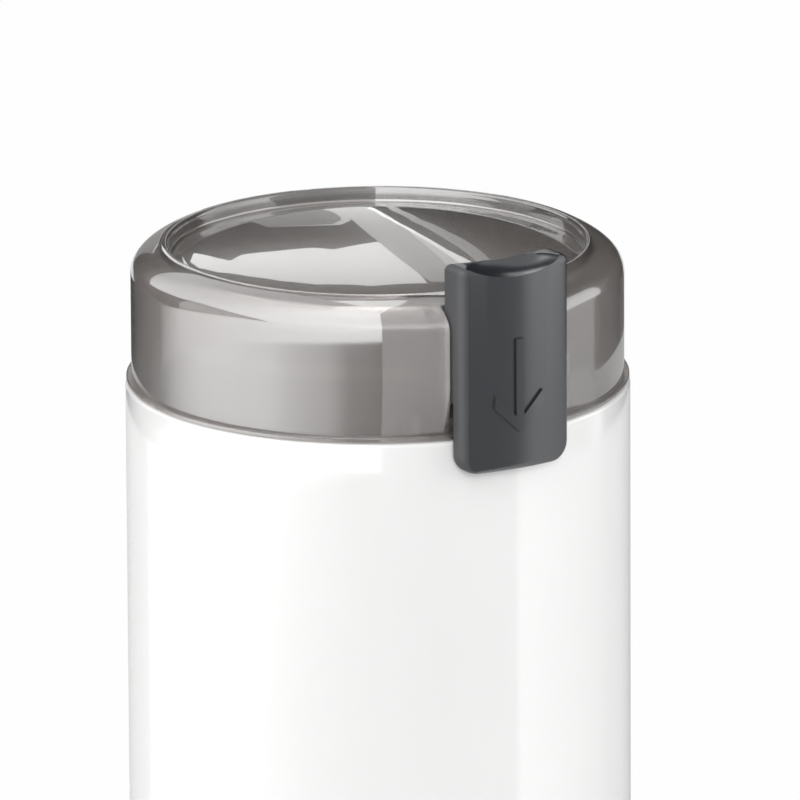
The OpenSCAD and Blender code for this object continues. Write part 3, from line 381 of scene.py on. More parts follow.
finishes = {
    "white_shell": mouldedPlastic("glossyWhite", (0.84, 0.84, 0.835), 0.16, coat=0.6, shift=0.01),
    "grey_inner": mouldedPlastic("plainGrey", (0.28, 0.27, 0.265), 0.40, shift=0.03, depth=0.00002),
    "white_inner": mouldedPlastic("plainWhite", (0.74, 0.74, 0.72), 0.38, shift=0.02, depth=0.00002),
    "smoked_clear": smokedPlastic("smokedClear"),
    "slate_plastic": slatePlastic("satinSlate"),
    "bowl_steel": bareMetal("drawnSteel", (0.66, 0.655, 0.64), 0.22, (1, 1, 12)),
    "blade_steel": bareMetal("groundSteel", (0.70, 0.70, 0.69), 0.26, (14, 1, 1), 220),
    "soft_seal": softRubber("milkySilicone", (0.62, 0.62, 0.60), 0.45),
    "black_rubber": softRubber("mattRubber", (0.022, 0.022, 0.023)),
    "zinc_steel": bareMetal("zincPlate", (0.56, 0.56, 0.54), 0.32, scale=500),
    "cast_bracket": bareMetal("castAlloy", (0.50, 0.505, 0.51), 0.45, scale=900, depth=0.00005),
    "bronze": bareMetal("sinteredBronze", (0.46, 0.32, 0.15), 0.42, scale=1600, depth=0.00003),
    "laminations": stackedSteel("stackedLaminations", (0.23, 0.235, 0.25)),
    "copper": woundWire("enamelledCopper", (0.50, 0.22, 0.10)),
    "black_plastic": mouldedPlastic("plainBlack", (0.030, 0.030, 0.031), 0.36, shift=0.1, depth=0.00002),
    "carbon": softRubber("pressedCarbon", (0.035, 0.034, 0.034), 0.5),
    "capacitor_yellow": mouldedPlastic("capacitorYellow", (0.62, 0.42, 0.06), 0.34, shift=0.05),
    "lead_insulation": mouldedPlastic("leadInsulation", (0.16, 0.10, 0.07), 0.4, shift=0.1),
    "switch_red": mouldedPlastic("switchRed", (0.55, 0.06, 0.03), 0.35, shift=0.05),
}
print("finishes made:", len(finishes))


view = {
    "azimuth": -31.0,      # degrees round from the button's side
    "elevation": 15.4,
    "distance": 2.5,
    "lens": 676.2,
    "aim": (3.66, -3.76, 138.0),   # right and up in the frame, then the height, in mm
    "roll": 0.293,
}


def bearing(turn, distance, height):
    # a place by its angle from the camera's side, to the right when positive
    angle = radians(view["azimuth"] - 90 + turn)
    return Vector((distance * cos(angle), distance * sin(angle), height))


def makeCamera():
    tilt = radians(view["elevation"])
    swung = radians(view["azimuth"])
    toCamera = Vector((sin(swung) * cos(tilt), -cos(swung) * cos(tilt), sin(tilt)))
    right = Vector((0, 0, 1)).cross(toCamera).normalized()
    up = toCamera.cross(right).normalized()
    aim = Vector((0, 0, view["aim"][2] * mm)) + right * view["aim"][0] * mm + up * view["aim"][1] * mm
    roll = radians(view["roll"])
    top = up * cos(roll) + right * sin(roll)
    side = top.cross(toCamera).normalized()
    eye = aim + toCamera * view["distance"]
    camera = bpy.data.objects.new("camera", bpy.data.cameras.new("camera"))
    camera.data.lens = view["lens"]
    camera.data.sensor_width = 36
    camera.data.clip_end = 60
    turn = Matrix((side, top, toCamera)).transposed().to_4x4()
    camera.matrix_world = Matrix.Translation(eye) @ turn
    bpy.context.scene.collection.objects.link(camera)
    bpy.context.scene.camera = camera


# soft boxes that face the grinder: angle from the camera's side, distance, height, width, depth
# and brightness
lamps = {
    "leftBox": (-90, 0.75, 0.34, 0.62, 0.60, 2.6),
    "rightBox": (80, 0.75, 0.34, 0.40, 0.60, 2.3),
    "overBox": (-30, 0.60, 0.95, 0.80, 0.60, 1.6),
    "frontFill": (10, 1.9, 1.1, 1.0, 0.7, 5.5),
}


def makeLamps():
    for name, (turn, distance, height, width, depth, glow) in lamps.items():
        lamp = bpy.data.lights.new(name, "AREA")
        lamp.shape, lamp.size, lamp.size_y = "RECTANGLE", width, depth
        lamp.energy = glow * pi * width * depth
        piece = bpy.data.objects.new(name, lamp)
        piece.location = bearing(turn, distance, height)
        piece.rotation_euler = (Vector((0, 0, 0.13)) - piece.location).to_track_quat("-Z", "Y").to_euler()
        piece.visible_camera = piece.visible_glossy = False
        bpy.context.scene.collection.objects.link(piece)


# where the floor's cards end and stand up, and where the dark flags stand behind them
cardR, flagR = 0.45, 0.46
# cards round the grinder that only its gloss sees: rings of (radius, height) from low to high, where a
# height may follow the angle from the camera's side, then the brightness at each angle
leftFoot = [(-126, 0.0255), (-119, 0.0270), (-112.5, 0.0296), (-100.7, 0.0342), (-88.9, 0.0371), (-65.6, 0.0408),
            (-42.5, 0.0427), (-19.4, 0.0438), (1, 0.0443)]
leftGap = [(-118, 0.041), (-108, 0.042), (-96, 0.068), (-87, 0.123), (-76, 0.186), (-65, 0.255), (-50, 0.272),
           (1, 0.272)]
leftTop = [(-160, 0.50), (-142, 0.35), (-129, 0.234), (-120, 0.270), (-104, 0.332), (-97, 0.400), (-83, 0.405),
           (-69, 0.377), (-57, 0.330), (-50, 0.272), (1, 0.272)]
floorPart = [(0.06, 0.002), (0.2, 0.002), (cardR, 0.002)]
roundCards = {
    "leftFloor": (floorPart + [(cardR, 0.018)],
                  [(-124.5, 3.0), (-100, 2.5), (-70, 1.9), (-36, 1.3), (-12, 1.0), (1, 0.9)]),
    "leftLow": ([(cardR, 0.018), (cardR, leftFoot)],
                [(-119, 0.1), (-114, 0.4), (-101, 1.7), (-86, 2.8), (-68, 3.2), (-50, 3.2), (-36, 2.1),
                 (-22, 1.4), (-12, 0.1), (1, 0.0)]),
    "leftMiddle": ([(cardR, leftFoot), (cardR, leftGap)],
                   [(-118, 0.2), (-112, 0.9), (-100, 2.0), (-87, 2.4), (-60, 3.7), (-45, 4.2), (1, 4.9)]),
    "leftHigh": ([(0.44, leftTop), (0.44, [(-160, 0.60), (-142, 0.45), (1, 0.45)]), (0.38, 0.62),
                  (0.26, 0.74), (0.12, 0.80)],
                 [(-160, 1.6), (-142, 1.3), (-129, 2.0), (-100, 2.8), (-60, 4.2), (1, 4.8)]),
    "leftFloorFlag": ([(0.06, 0.003), (flagR, 0.003), (flagR, 0.018)],
                      [(-175, 0.6), (-150, 0.66), (-138, 0.62), (-125.5, 0.6)]),
    "leftLowFlag": ([(flagR, 0.018), (flagR, 0.045)],
                    [(-175, 0.1), (-155, 0.0), (-132, 0.05), (-120, 0.1), (-100, 0.0)]),
    "leftHighFlag": ([(flagR, 0.045), (flagR, 0.6)], [(-152, 0.0), (-100, 0.0)]),
    "frontCard": (floorPart + [(cardR, 0.10)], [(2, 1.0), (10, 0.9), (25, 0.56), (63, 0.52)]),
    "rightFloor": (floorPart + [(cardR, 0.024)], [(64, 1.9), (80, 1.4), (100, 1.0), (119, 0.8)]),
    "rightLow": ([(cardR, 0.024), (cardR, 0.10)],
                 [(64, 2.6), (85, 1.3), (98, 0.45), (104, 0.5), (110, 0.9), (115, 1.1), (119, 0.5)]),
    "rightHigh": ([(cardR, 0.10), (cardR, 0.6)], [(64, 2.9), (100, 1.6), (116, 2.0), (121, 1.5)]),
    "rightFloorFlag": ([(0.06, 0.003), (flagR, 0.003), (flagR, 0.024)],
                       [(119, 0.7), (140, 0.66), (160, 0.5), (175, 0.5)]),
    "rightLowFlag": ([(flagR, 0.024), (flagR, 0.045)], [(119, 0.12), (124, 0.0), (150, 0.0), (175, 0.3)]),
    "rightHighFlag": ([(flagR, 0.045), (flagR, 0.5)], [(119, 0.0), (160, 0.0)]),
}
# cards behind it: distance, outline to the right and up in metres, brightness
greyEdge = [(-0.029, 0.397), (-0.042, 0.456), (-0.062, 0.441), (-0.081, 0.417), (-0.100, 0.385), (-0.096, 0.318),
            (-0.087, 0.219), (-0.090, 0.123), (-0.106, 0.152), (-0.129, 0.203), (-0.151, 0.239), (-0.178, 0.287),
            (-0.25, 0.40), (-0.40, 0.50), (-0.40, 0.03), (-0.028, 0.03), (-0.027, 0.34)]
rearCards = {
    "rearFlag": (1.30, [(-1.0, 0.03), (1.0, 0.03), (1.0, 2.2), (-1.0, 2.2)], 0.0),
    "rearEdge": (1.26, greyEdge, 0.9),
    "rearGrey": (1.25, [(u - 0.008, z - 0.022) for u, z in greyEdge], 0.32),
    "rearPanel": (1.20, [(-0.212, 0.470), (-0.245, 0.566), (-0.263, 0.666), (-0.264, 0.772), (-0.240, 0.918),
                         (-0.201, 1.048), (-0.141, 1.152), (-0.013, 1.218), (0.110, 1.159), (0.085, 1.052),
                         (0.060, 0.963), (0.044, 0.907), (0.028, 0.838), (0.014, 0.768), (0.002, 0.678),
                         (-0.033, 0.714), (-0.069, 0.753), (-0.096, 0.708), (-0.147, 0.687), (-0.192, 0.646),
                         (-0.218, 0.686), (-0.220, 0.610)], 2.2),
    "rearFan": (1.19, [(-0.026, 0.055), (-0.029, 0.215), (-0.027, 0.340), (-0.021, 0.484), (-0.011, 0.594),
                       (0.001, 0.684), (0.014, 0.768), (0.028, 0.838), (0.044, 0.907), (0.060, 0.963),
                       (0.085, 1.052), (0.113, 1.128), (0.21, 1.08), (0.141, 0.967), (0.104, 0.838),
                       (0.079, 0.742), (0.048, 0.607), (0.023, 0.455), (0.004, 0.271), (-0.008, 0.116),
                       (-0.012, 0.06)], 0.9),
    "rearFanMiddle": (1.188, [(-0.008, 0.116), (0.004, 0.271), (0.023, 0.455), (0.048, 0.607), (0.079, 0.742),
                              (0.104, 0.838), (0.141, 0.967), (0.21, 1.08), (0.24, 1.02), (0.134, 0.850),
                              (0.111, 0.785), (0.091, 0.725), (0.069, 0.654), (0.043, 0.560), (0.018, 0.435),
                              (0.002, 0.311), (-0.008, 0.150)], 1.35),
    "rearFanBright": (1.185, [(-0.008, 0.150), (0.002, 0.311), (0.018, 0.435), (0.043, 0.560), (0.069, 0.654),
                              (0.091, 0.725), (0.111, 0.785), (0.134, 0.850), (0.24, 1.02), (0.25, 1.00),
                              (0.149, 0.816), (0.126, 0.773), (0.102, 0.723), (0.078, 0.652), (0.050, 0.558),
                              (0.023, 0.434), (0.005, 0.310), (-0.006, 0.116)], 2.3),
    "rearStripe": (1.18, [(0.0, 0.04), (0.009, 0.110), (0.017, 0.212), (0.039, 0.357), (0.078, 0.496),
                          (0.121, 0.611), (0.170, 0.748), (0.27, 1.00), (0.26, 1.02), (0.157, 0.800),
                          (0.126, 0.714), (0.090, 0.611), (0.067, 0.531), (0.033, 0.396), (0.009, 0.218)], 0.6),
}
# the card overhead: to the right and towards the camera, then height and brightness
topCard = ([(0.006, 0.14), (0.012, -0.08), (0.012, -0.27), (-0.12, -0.26), (-0.24, -0.14), (-0.28, 0.0),
            (-0.14, 0.10)], 0.80, 4.0)


def valueAt(stops, turn):
    # the value at an angle, between the stops
    if not isinstance(stops, list):
        return stops
    turn = max(turn, stops[0][0])
    for (a, first), (b, last) in zip(stops, stops[1:]):
        if turn <= b:
            return first + (last - first) * (turn - a) / (b - a)
    return stops[-1][1]


def swing(turn, radius, edge=cardR, wall=0.042):
    # where a level ray from the round wall, which reaches the card's edge at this angle, crosses
    # a smaller radius
    ray = turn
    for i in range(4):
        ray = turn + degrees(asin(wall / edge * sin(radians(ray / 2))))
    return ray - degrees(asin(wall / radius * sin(radians(ray / 2))))


def finishCard(card, stops):
    # the brightness follows the angle from the camera's side, and a flag without any stays black
    finish = Finish(card.name + "Cloth", Roughness=0.9, Specular_IOR_Level=0.0,
                    Base_Color=(0.012, 0.012, 0.012, 1))
    most = max(glow for turn, glow in stops)
    if most:
        front, right = bearing(0, 1, 0), bearing(90, 1, 0)
        towards = [finish.node("ShaderNodeVectorMath", {"operation": "DOT_PRODUCT"},
                               {0: finish.place, 1: way}, output=1) for way in (front, right)]
        turn = towards[1].math("ARCTAN2", towards[1], towards[0])
        first, last = stops[0][0], stops[-1][0]
        share = finish.node("ShaderNodeMapRange", None, {0: turn, 1: radians(first), 2: radians(last)})
        tones = [((angle - first) / (last - first), [glow / most] * 3 + [1]) for angle, glow in stops]
        ramp = finish.node("ShaderNodeValToRGB", {"stops": tones}, {0: share})
        finish.send(finish.node("ShaderNodeEmission", None, {"Color": ramp, "Strength": most}))
    card.data.materials.append(finish.material)
    for kind in ("camera", "diffuse", "transmission", "volume_scatter", "shadow"):
        setattr(card, "visible_" + kind, False)


def makeCards(onFloor=0.01):
    # points lower than onFloor metres lie on the floor, where the edge follows the reflected ray
    for name, (profile, stops) in roundCards.items():
        start, end = stops[0][0], stops[-1][0]
        bm = bmesh.new()
        # the height holds the point's number in the profile until the point is placed
        verts = [bm.verts.new(bearing(start, 1, i)) for i in range(len(profile))]
        edges = [bm.edges.new(pair) for pair in zip(verts, verts[1:])]
        bmesh.ops.spin(bm, geom=verts + edges, cent=(0, 0, 0), axis=(0, 0, 1),
                       angle=radians(end - start), steps=72, use_merge=False)
        for v in bm.verts:
            radius, height = profile[round(v.co.z)]
            turn = (degrees(atan2(v.co.y, v.co.x)) - view["azimuth"] + 90 + 180) % 360 - 180
            height = valueAt(height, turn)
            v.co = bearing(swing(turn, radius) if height < onFloor else turn, radius, height)
        finishCard(toObject(bm, name), stops)
    for name, (distance, outline, glow) in rearCards.items():
        bm = bmesh.new()
        spot, right = bearing(180, distance, 0), bearing(90, 1, 0)
        bm.faces.new([bm.verts.new(spot + right * u + Vector((0, 0, z))) for u, z in outline])
        bm.normal_update()
        bmesh.ops.triangulate(bm, faces=bm.faces)
        finishCard(toObject(bm, name), [(-1, glow), (1, glow)])
    outline, height, glow = topCard
    bm = bmesh.new()
    bm.faces.new([bm.verts.new(bearing(90, u, height) + bearing(0, f, 0)) for u, f in outline])
    finishCard(toObject(bm, "topCard"), [(-1, glow), (1, glow)])


def makeWorld(level=0.58, seen=1.0):
    world = bpy.data.worlds.new("studio")
    bpy.context.scene.world = world
    world.use_nodes = True
    tree = world.node_tree
    tree.nodes.clear()
    path = tree.nodes.new("ShaderNodeLightPath")
    dim = tree.nodes.new("ShaderNodeBackground")
    bright = tree.nodes.new("ShaderNodeBackground")
    for part, strength in ((dim, level), (bright, seen)):
        part.inputs[0].default_value = (1, 1, 1, 1)
        part.inputs[1].default_value = strength
    # the eye, the gloss and the clear plastic see white; only the soft light is dim
    first = tree.nodes.new("ShaderNodeMath")
    second = tree.nodes.new("ShaderNodeMath")
    first.operation = second.operation = "MAXIMUM"
    tree.links.new(path.outputs["Is Camera Ray"], first.inputs[0])
    tree.links.new(path.outputs["Is Glossy Ray"], first.inputs[1])
    tree.links.new(first.outputs[0], second.inputs[0])
    tree.links.new(path.outputs["Is Transmission Ray"], second.inputs[1])
    mix = tree.nodes.new("ShaderNodeMixShader")
    out = tree.nodes.new("ShaderNodeOutputWorld")
    tree.links.new(second.outputs[0], mix.inputs[0])
    tree.links.new(dim.outputs[0], mix.inputs[1])
    tree.links.new(bright.outputs[0], mix.inputs[2])
    tree.links.new(mix.outputs[0], out.inputs[0])


def makeFloor():
    bm = bmesh.new()
    bmesh.ops.create_grid(bm, x_segments=1, y_segments=1, size=9)
    floor = toObject(bm, "floor")
    finish = Finish("paleFloor", Roughness=0.6, Specular_IOR_Level=0.2)
    grain = finish.noise(6, 2)
    finish.set(Base_Color=finish.blend(grain, (0.62, 0.62, 0.62, 1), (0.66, 0.66, 0.66, 1)))
    glow = finish.node("ShaderNodeEmission", None, {"Strength": 1.0})
    eye, gloss, clear = [finish.node("ShaderNodeLightPath", output="Is " + kind + " Ray")
                         for kind in ("Camera", "Glossy", "Transmission")]
    # the little that is left of the plain floor keeps the shadow
    finish.mixShaders((eye + gloss + clear) * 0.98, glow)
    floor.data.materials.append(finish.material)


makeCamera()
makeLamps()
makeCards()
makeWorld()
makeFloor()
bpy.context.scene.view_settings.view_transform = "Standard"
print("studio made")


body = {
    "radius": 42.0, "inside": 39.8, "low": 2.0, "seam": 138.0,
    "footRound": 2.0, "rimRound": 0.6,
    "inletZ": 14.0, "inletR": 5.45,
    "rows": (12, 30, 60, 90, 115, 130), "mouth": 0.3, "insideRows": (90, 45),
    "inletHalf": 12, "slotFront": 30, "slotBack": 54, "slotLow": -1,
    "lowBoss": (3.2, 36.8, 5.4, 18.0), "highBoss": (2.2, 37.8, 111.5, 131.5),   # radius, ring, low, high
    "shelves": (40.0, 66.0), "shelfHalf": 11, "shelfFront": 29, "shelfBack": 38.4, "shelfThick": 2,
}


def makeBody():
    b = body
    outside = (arc(b["radius"] - b["footRound"], b["low"] + b["footRound"], b["footRound"], b["footRound"],
                   -90, 0, 10)
               + [(b["radius"], z) for z in b["rows"]]
               + arc(b["radius"] - b["rimRound"], b["seam"] - b["rimRound"], b["rimRound"], b["rimRound"],
                     0, 90, 6))
    inside = ([(b["inside"] + b["mouth"], b["seam"]), (b["inside"], b["seam"] - b["mouth"])]
              + [(b["inside"], z) for z in b["insideRows"]] + [(b["inside"], b["low"])])
    bm = spinProfile(outside + inside, 240, closed=True)
    shell = toObject(bm, "bodyShell")
    cutter = bmesh.new()
    rod = addRod(cutter, 0, 0, -b["inletHalf"], b["inletHalf"], b["inletR"], 48)
    bmesh.ops.rotate(cutter, verts=rod, cent=(0, 0, 0), matrix=Matrix.Rotation(pi / 2, 3, "X"))
    bmesh.ops.translate(cutter, vec=(0, b["radius"] * mm, b["inletZ"] * mm), verts=rod)
    slotTool = bmesh.new()
    addBox(slotTool, (-b["inletR"], b["slotFront"], b["slotLow"]), (b["inletR"], b["slotBack"], b["inletZ"]))
    combine(shell, [toObject(cutter, "inletRound"), toObject(slotTool, "inletSlot")])
    # bosses and shelves stand inside the shell
    bm = bmesh.new()
    for radius, ring, low, high in (b["lowBoss"], b["highBoss"]):
        for corner in (45, 135, 225, 315):
            addRod(bm, ring * cos(radians(corner)), ring * sin(radians(corner)), low, high, radius, 24)
    for z in b["shelves"]:
        addBox(bm, (-b["shelfHalf"], b["shelfFront"], z), (b["shelfHalf"], b["shelfBack"], z + b["shelfThick"]))
    join(shell, [toObject(bm, "bossesAndShelves")])
    smooth(shell.data)
    place(shell, "housing", "white_shell", ["outer_housing"])


makeBody()
print("body made")


lid = {
    "radius": 41.0, "rim": 41.85, "low": 138.15, "rimHigh": 0.85,
    "shoulderZ": 156.7, "shoulderW": 13.0, "shoulderRise": 6.2, "crestR": 35.6,
    "domeR": 33.0, "domeZ": 159.4, "domeRise": 4.6, "wall": 2.2,
    "skirtOut": 35.3, "skirtIn": 34.0, "cheek": 30.0,
    "halfPocket": 10.85, "pocketFloor": 141.2, "pocketBack": 35.8, "pocketStep": 157.8, "pocketTop": 39.4,
    "footEdge": 0.25, "rimEdge": 0.07, "rows": (141, 146.5, 150, 153.5, 156.5),
    "bead": 0.62, "beadIn": 0.35, "beadFoot": (34.45, 160.2), "groove": 0.42, "grooveAt": (34.0, 159.72),
    "domeSink": 0.1, "hollowSink": 1.4, "skirtInTop": 150.5, "skirtOutTop": 150.0,
    "cheekInside": 0.6, "cheekRise": 2.0, "holeY": -37.9, "holeR": 1.3,
    "rib": 1.4, "ribFront": -39.6, "ribBack": -35.0, "ribTop": 158.6, "ribFloorFront": -39.0,
    "ledgeOut": 34.2, "ledgeIn": 31.8, "ledgeLow": 149.3, "ledgeHigh": 150.5,
}


def makeLid():
    s = lid
    crestAngle = degrees(acos((s["crestR"] - s["radius"] + s["shoulderW"]) / s["shoulderW"]))
    crestZ = s["shoulderZ"] + s["shoulderRise"] * sin(radians(crestAngle))
    rimTop = s["low"] + s["rimHigh"]
    outer = ([(s["rim"] - s["footEdge"], s["low"]), (s["rim"], s["low"] + s["footEdge"]),
              (s["rim"], rimTop - s["rimEdge"]), (s["rim"] - s["rimEdge"], rimTop)]
             + [(s["radius"], z) for z in (rimTop,) + s["rows"]]
             + arc(s["radius"] - s["shoulderW"], s["shoulderZ"], s["shoulderW"], s["shoulderRise"],
                   0, crestAngle - 2, 22)
             + arc(s["crestR"] - s["beadIn"], crestZ - s["bead"], s["bead"], s["bead"], 62, 172, 6)
             + [s["beadFoot"]]
             + arc(*s["grooveAt"], s["groove"], s["groove"], 0, -90, 4)
             + domeArc(s["domeR"], s["domeZ"], s["domeRise"], 40))
    innerDome = domeArc(s["skirtIn"], s["domeZ"] - s["wall"] - s["domeSink"], s["domeRise"], 30)[::-1]
    innerW = s["shoulderW"] - s["wall"]
    hollowAngle = degrees(acos((s["skirtOut"] - s["radius"] + s["shoulderW"]) / innerW))
    hollow = arc(s["radius"] - s["shoulderW"], s["shoulderZ"], innerW,
                 s["shoulderRise"] - s["wall"] - s["hollowSink"], hollowAngle, 0, 12)
    inner = (innerDome + [(s["skirtIn"], s["skirtInTop"]), (s["skirtIn"], s["low"]),
                          (s["skirtOut"], s["low"]), (s["skirtOut"], s["skirtOutTop"])]
             + hollow + [(s["radius"] - s["wall"], s["low"])])
    bm = spinProfile(inner + outer, 180)
    # each flat cheek touches the round wall and runs out to the pocket; under the pocket the wall stays
    # round, behind the button
    cheek = radians(s["cheek"])
    for v in bm.verts:
        x, y, z = v.co.x / mm, v.co.y / mm, v.co.z / mm
        away = abs(atan2(x, -y))
        r = hypot(x, y)
        if z < s["pocketFloor"] and abs(x) < s["halfPocket"]:
            continue
        if away < cheek and r > s["pocketBack"] - s["cheekInside"] and z > s["low"] + s["rimHigh"]:
            part = min(1.0, (z - s["low"] - s["rimHigh"]) / s["cheekRise"])
            grow = 1 + (1 / cos(cheek - away) - 1) * part
            v.co.x *= grow
            v.co.y *= grow
    shell = toObject(bm, "lidShell")
    pocket = bmesh.new()
    addBox(pocket, (-s["halfPocket"], -60, s["pocketFloor"]), (s["halfPocket"], -20, 190))
    pocketBox = toObject(pocket, "pocketBox")
    backRound = bmesh.new()
    addRod(backRound, 0, 0, 100, s["pocketStep"] + 5, s["pocketBack"], 180)
    topRound = bmesh.new()
    addRod(topRound, 0, 0, s["pocketStep"], 200, s["pocketTop"], 180)
    combine(pocketBox, [toObject(backRound, "pocketBackRound"), toObject(topRound, "pocketTopRound")])
    hole = bmesh.new()
    addRod(hole, 0, s["holeY"], 130, 150, s["holeR"], 24)
    combine(shell, [pocketBox, toObject(hole, "plungerHole")])
    # side walls and floor of the pocket, inside the hollow
    ribs = bmesh.new()
    h, t = s["halfPocket"], s["rib"]
    for side in (-1, 1):
        xs = sorted((side * h, side * (h + t)))
        addBox(ribs, (xs[0], s["ribFront"], s["pocketFloor"] - t), (xs[1], s["ribBack"], s["ribTop"]))
    addBox(ribs, (-h - t, s["ribFloorFront"], s["pocketFloor"] - t), (h + t, s["ribBack"], s["pocketFloor"]))
    corners = ((s["ledgeOut"], s["ledgeLow"]), (s["ledgeIn"], s["ledgeLow"]),
               (s["ledgeIn"], s["ledgeHigh"]), (s["ledgeOut"], s["ledgeHigh"]))
    ledge = spinProfile(corners, 120, closed=True)
    join(shell, [toObject(ribs, "pocketRibs"), toObject(ledge, "sealLedge")])
    smooth(shell.data, 30)
    place(shell, "lid", "smoked_clear", ["lid_cover"])


makeLid()
print("lid made")


button = {
    "half": 10.45, "low": 132.7, "top": 167.7, "outer": 45.0, "inner": 42.7,
    "lowCorner": 3.4, "topCorner": 1.2, "edge": 1.5,
    "blockBack": 36.2, "blockLow": 144.6, "blockStep": 157.4, "topBack": 39.8,
    "dishDeep": 2.1, "dishSphere": 22.0, "dishShare": 0.6,
    "arrowTop": 155.1, "arrowTip": 139.2, "arrowHalf": 4.8, "arrowHead": 6.1, "stroke": 1.6, "shaft": 1.5,
    "arrowRaise": 0.45, "arrowSink": 0.4, "arrowCut": 0.5,
    "overlap": 0.3, "headEdge": 0.5,
}


def sliceAcross(bm, half, count):
    for i in range(1, count):
        x = (-half + 2 * half * i / count) * mm
        bmesh.ops.bisect_plane(bm, geom=bm.verts[:] + bm.edges[:] + bm.faces[:], plane_co=(x, 0, 0),
                               plane_no=(1, 0, 0), dist=1e-7)


def bentPlate(bm, outerR, innerR, slices, edge=0.0, segments=5, backEdge=0.0):
    # a flat outline is thickened, its rims are rounded, and then it is bent round the axis
    bmesh.ops.recalc_face_normals(bm, faces=bm.faces)
    made = bmesh.ops.extrude_face_region(bm, geom=bm.faces[:], use_keep_orig=True)
    back = [g for g in made["geom"] if isinstance(g, bmesh.types.BMVert)]
    bmesh.ops.translate(bm, vec=(0, (outerR - innerR) * mm, 0), verts=back)
    bmesh.ops.recalc_face_normals(bm, faces=bm.faces)
    deep = (outerR - innerR) * mm
    for at, width in ((0, edge), (deep, backEdge)):
        if width:
            rim = [e for e in bm.edges if all(abs(v.co.y - at) < 1e-6 for v in e.verts)]
            roundEdges(bm, rim, width, segments)
    sliceAcross(bm, max(v.co.x for v in bm.verts) / mm, slices)
    for v in bm.verts:
        v.co.y = -sqrt((outerR * mm - v.co.y) ** 2 - v.co.x ** 2)
    settle(bm)
    return bm


def buttonOutline(low, high, lowCorner, topCorner):
    half = button["half"]
    bm = bmesh.new()
    bm.faces.new([bm.verts.new((x * mm, 0, z * mm)) for x, z in
                  ((-half, low), (half, low), (half, high), (-half, high))])
    for z, corner, segments in ((low, lowCorner, 10), (high, topCorner, 6)):
        if corner:
            roundCorners(bm, [v for v in bm.verts if abs(v.co.z - z * mm) < 1e-5], corner, segments)
    return bm


def makeButtonCap():
    b = button
    panel = bentPlate(buttonOutline(b["low"], b["top"], b["lowCorner"], b["topCorner"]),
                      b["outer"], b["inner"], 20, b["edge"], 6)
    cap = toObject(panel, "buttonCap", 40)
    # the block behind the panel, thinner above its step
    blockFront = b["inner"] + b["overlap"]
    foot = bentPlate(buttonOutline(b["blockLow"], b["blockStep"], 0, 0), blockFront, b["blockBack"], 20)
    head = bentPlate(buttonOutline(b["blockStep"] - b["overlap"], b["top"], 0, b["topCorner"]),
                     blockFront, b["topBack"], 20, backEdge=b["headEdge"], segments=3)
    combine(cap, [toObject(foot, "buttonFoot"), toObject(head, "buttonHead")], "UNION")
    dish = bmesh.new()
    bmesh.ops.create_uvsphere(dish, u_segments=96, v_segments=64, radius=b["dishSphere"] * mm)
    bmesh.ops.scale(dish, vec=(1, b["dishShare"], 1), verts=dish.verts)
    bmesh.ops.translate(dish, vec=(0, -b["outer"] * mm, (b["top"] + b["dishSphere"] - b["dishDeep"]) * mm),
                        verts=dish.verts)
    combine(cap, [toObject(dish, "dishTool")])
    join(cap, [makeArrow()])
    smooth(cap.data, 32)
    place(cap, "button", "slate_plastic", ["button_cap"])


def makeArrow():
    b = button
    slope = atan2(b["arrowHead"] - b["stroke"], b["arrowHalf"])
    thick = b["stroke"] / cos(slope)
    tip, half, s = b["arrowTip"], b["arrowHalf"], b["shaft"] / 2
    lift, cut, joint = half * tan(slope), b["arrowCut"] * sin(slope), b["shaft"] / 2 * tan(slope)
    bm = bmesh.new()
    bm.faces.new([bm.verts.new((x * mm, 0, z * mm)) for x, z in
                  ((0, tip), (half, tip + lift), (half - cut, tip + lift + thick), (s, tip + thick + joint),
                   (s, b["arrowTop"]), (-s, b["arrowTop"]), (-s, tip + thick + joint),
                   (-half + cut, tip + lift + thick), (-half, tip + lift))])
    bm.normal_update()
    # cut at the shaft first, so that each part is convex
    for x in (0, -s, s):
        bmesh.ops.bisect_plane(bm, geom=bm.verts[:] + bm.edges[:] + bm.faces[:], plane_co=(x * mm, 0, 0),
                               plane_no=(1, 0, 0), dist=1e-7)
    return toObject(bentPlate(bm, b["outer"] + b["arrowRaise"], b["outer"] - b["arrowSink"], 12), "arrow", 40)


makeButtonCap()


# the two springs under the button, in mm
springs = {
    "apart": 5.4, "coil": 1.6, "wire": 0.3, "turns": 7, "steps": 14, "travel": 3.0,
}


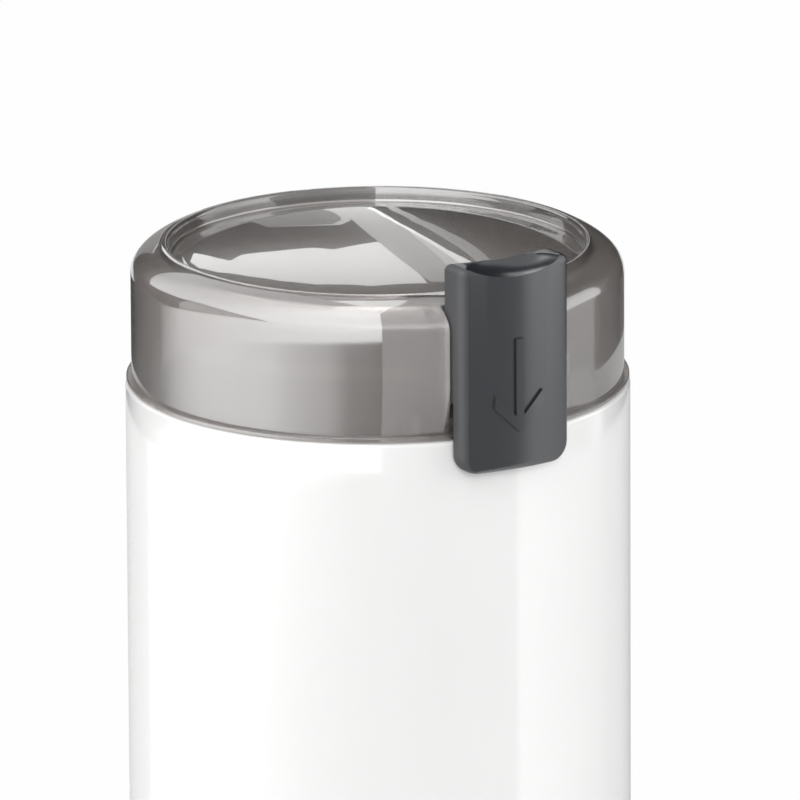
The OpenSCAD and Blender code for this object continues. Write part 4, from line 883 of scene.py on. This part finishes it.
def makeSprings():
    s = springs
    low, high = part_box("button_springs")
    middle, tall = (low.y + high.y) / 2, high.z - low.z
    count = s["turns"] * s["steps"]
    bm = bmesh.new()
    for x in (-s["apart"], s["apart"]):
        centre = Vector((x * mm, middle, low.z))
        start = (Matrix.Translation(centre + Vector((s["coil"], 0, s["wire"])) * mm)
                 @ Matrix.Rotation(pi / 2, 4, "X"))
        ring = bmesh.ops.create_circle(bm, segments=6, radius=s["wire"] * mm, matrix=start)["verts"]
        edges = list({edge for v in ring for edge in v.link_edges})
        bmesh.ops.spin(bm, geom=ring + edges, cent=centre, axis=(0, 0, 1), angle=2 * pi * s["turns"],
                       steps=count, dvec=(0, 0, (tall - 2 * s["wire"] * mm) / count), use_merge=False)
    bmesh.ops.holes_fill(bm, edges=bm.edges, sides=6)
    bmesh.ops.recalc_face_normals(bm, faces=bm.faces)
    coils = place(toObject(bm, "buttonCoils", 60), "lid", "zinc_steel", ["button_springs"])
    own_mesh(coils)


makeSprings()
print("button made")


bowl = {
    "rim": 146.0, "floor": 103.5, "steel": 0.8, "out": 31.8, "corner": 9.0, "lip": 33.6, "hole": 6.0,
    "rows": (118, 128, 138), "lipEdge": 0.25, "lipLift": 0.05, "lipRound": 0.9, "lipShift": 0.1,
}


def makeBowl():
    b = bowl
    outside = ([(b["lip"], b["rim"] + b["steel"] - b["lipEdge"])]
               + [(r, b["rim"] + b["lipLift"]) for r in (b["lip"], b["out"])]
               + [(b["out"], z) for z in b["rows"][::-1]]
               + arc(b["out"] - b["corner"], b["floor"] + b["corner"], b["corner"], b["corner"], 0, -90, 12)
               + [(b["hole"], b["floor"])])
    inner = b["corner"] - b["steel"]
    inside = ([(b["hole"], b["floor"] + b["steel"])]
              + arc(b["out"] - b["corner"], b["floor"] + b["corner"], inner, inner, -90, 0, 12)
              + [(b["out"] - b["steel"], z) for z in b["rows"]]
              + arc(b["out"] + b["lipShift"], b["rim"] - b["lipShift"], b["lipRound"], b["lipRound"], 180, 90, 6)
              + [(b["lip"] - b["lipEdge"], b["rim"] + b["steel"])])
    piece = toObject(spinProfile(outside + inside, 180, closed=True), "steelBowl")
    place(piece, "housing", "bowl_steel", ["grinding_bowl"])


makeBowl()
print("bowl made")


def dressNodes():
    # every other CAD node keeps its shape and takes its finish
    for row in frame["record"]["subparts"]:
        piece = frame["nodes"][row["node"]]
        piece.data.materials.clear()
        piece.data.materials.append(finishes[row["material_slot"]])


dressNodes()
print("nodes dressed")
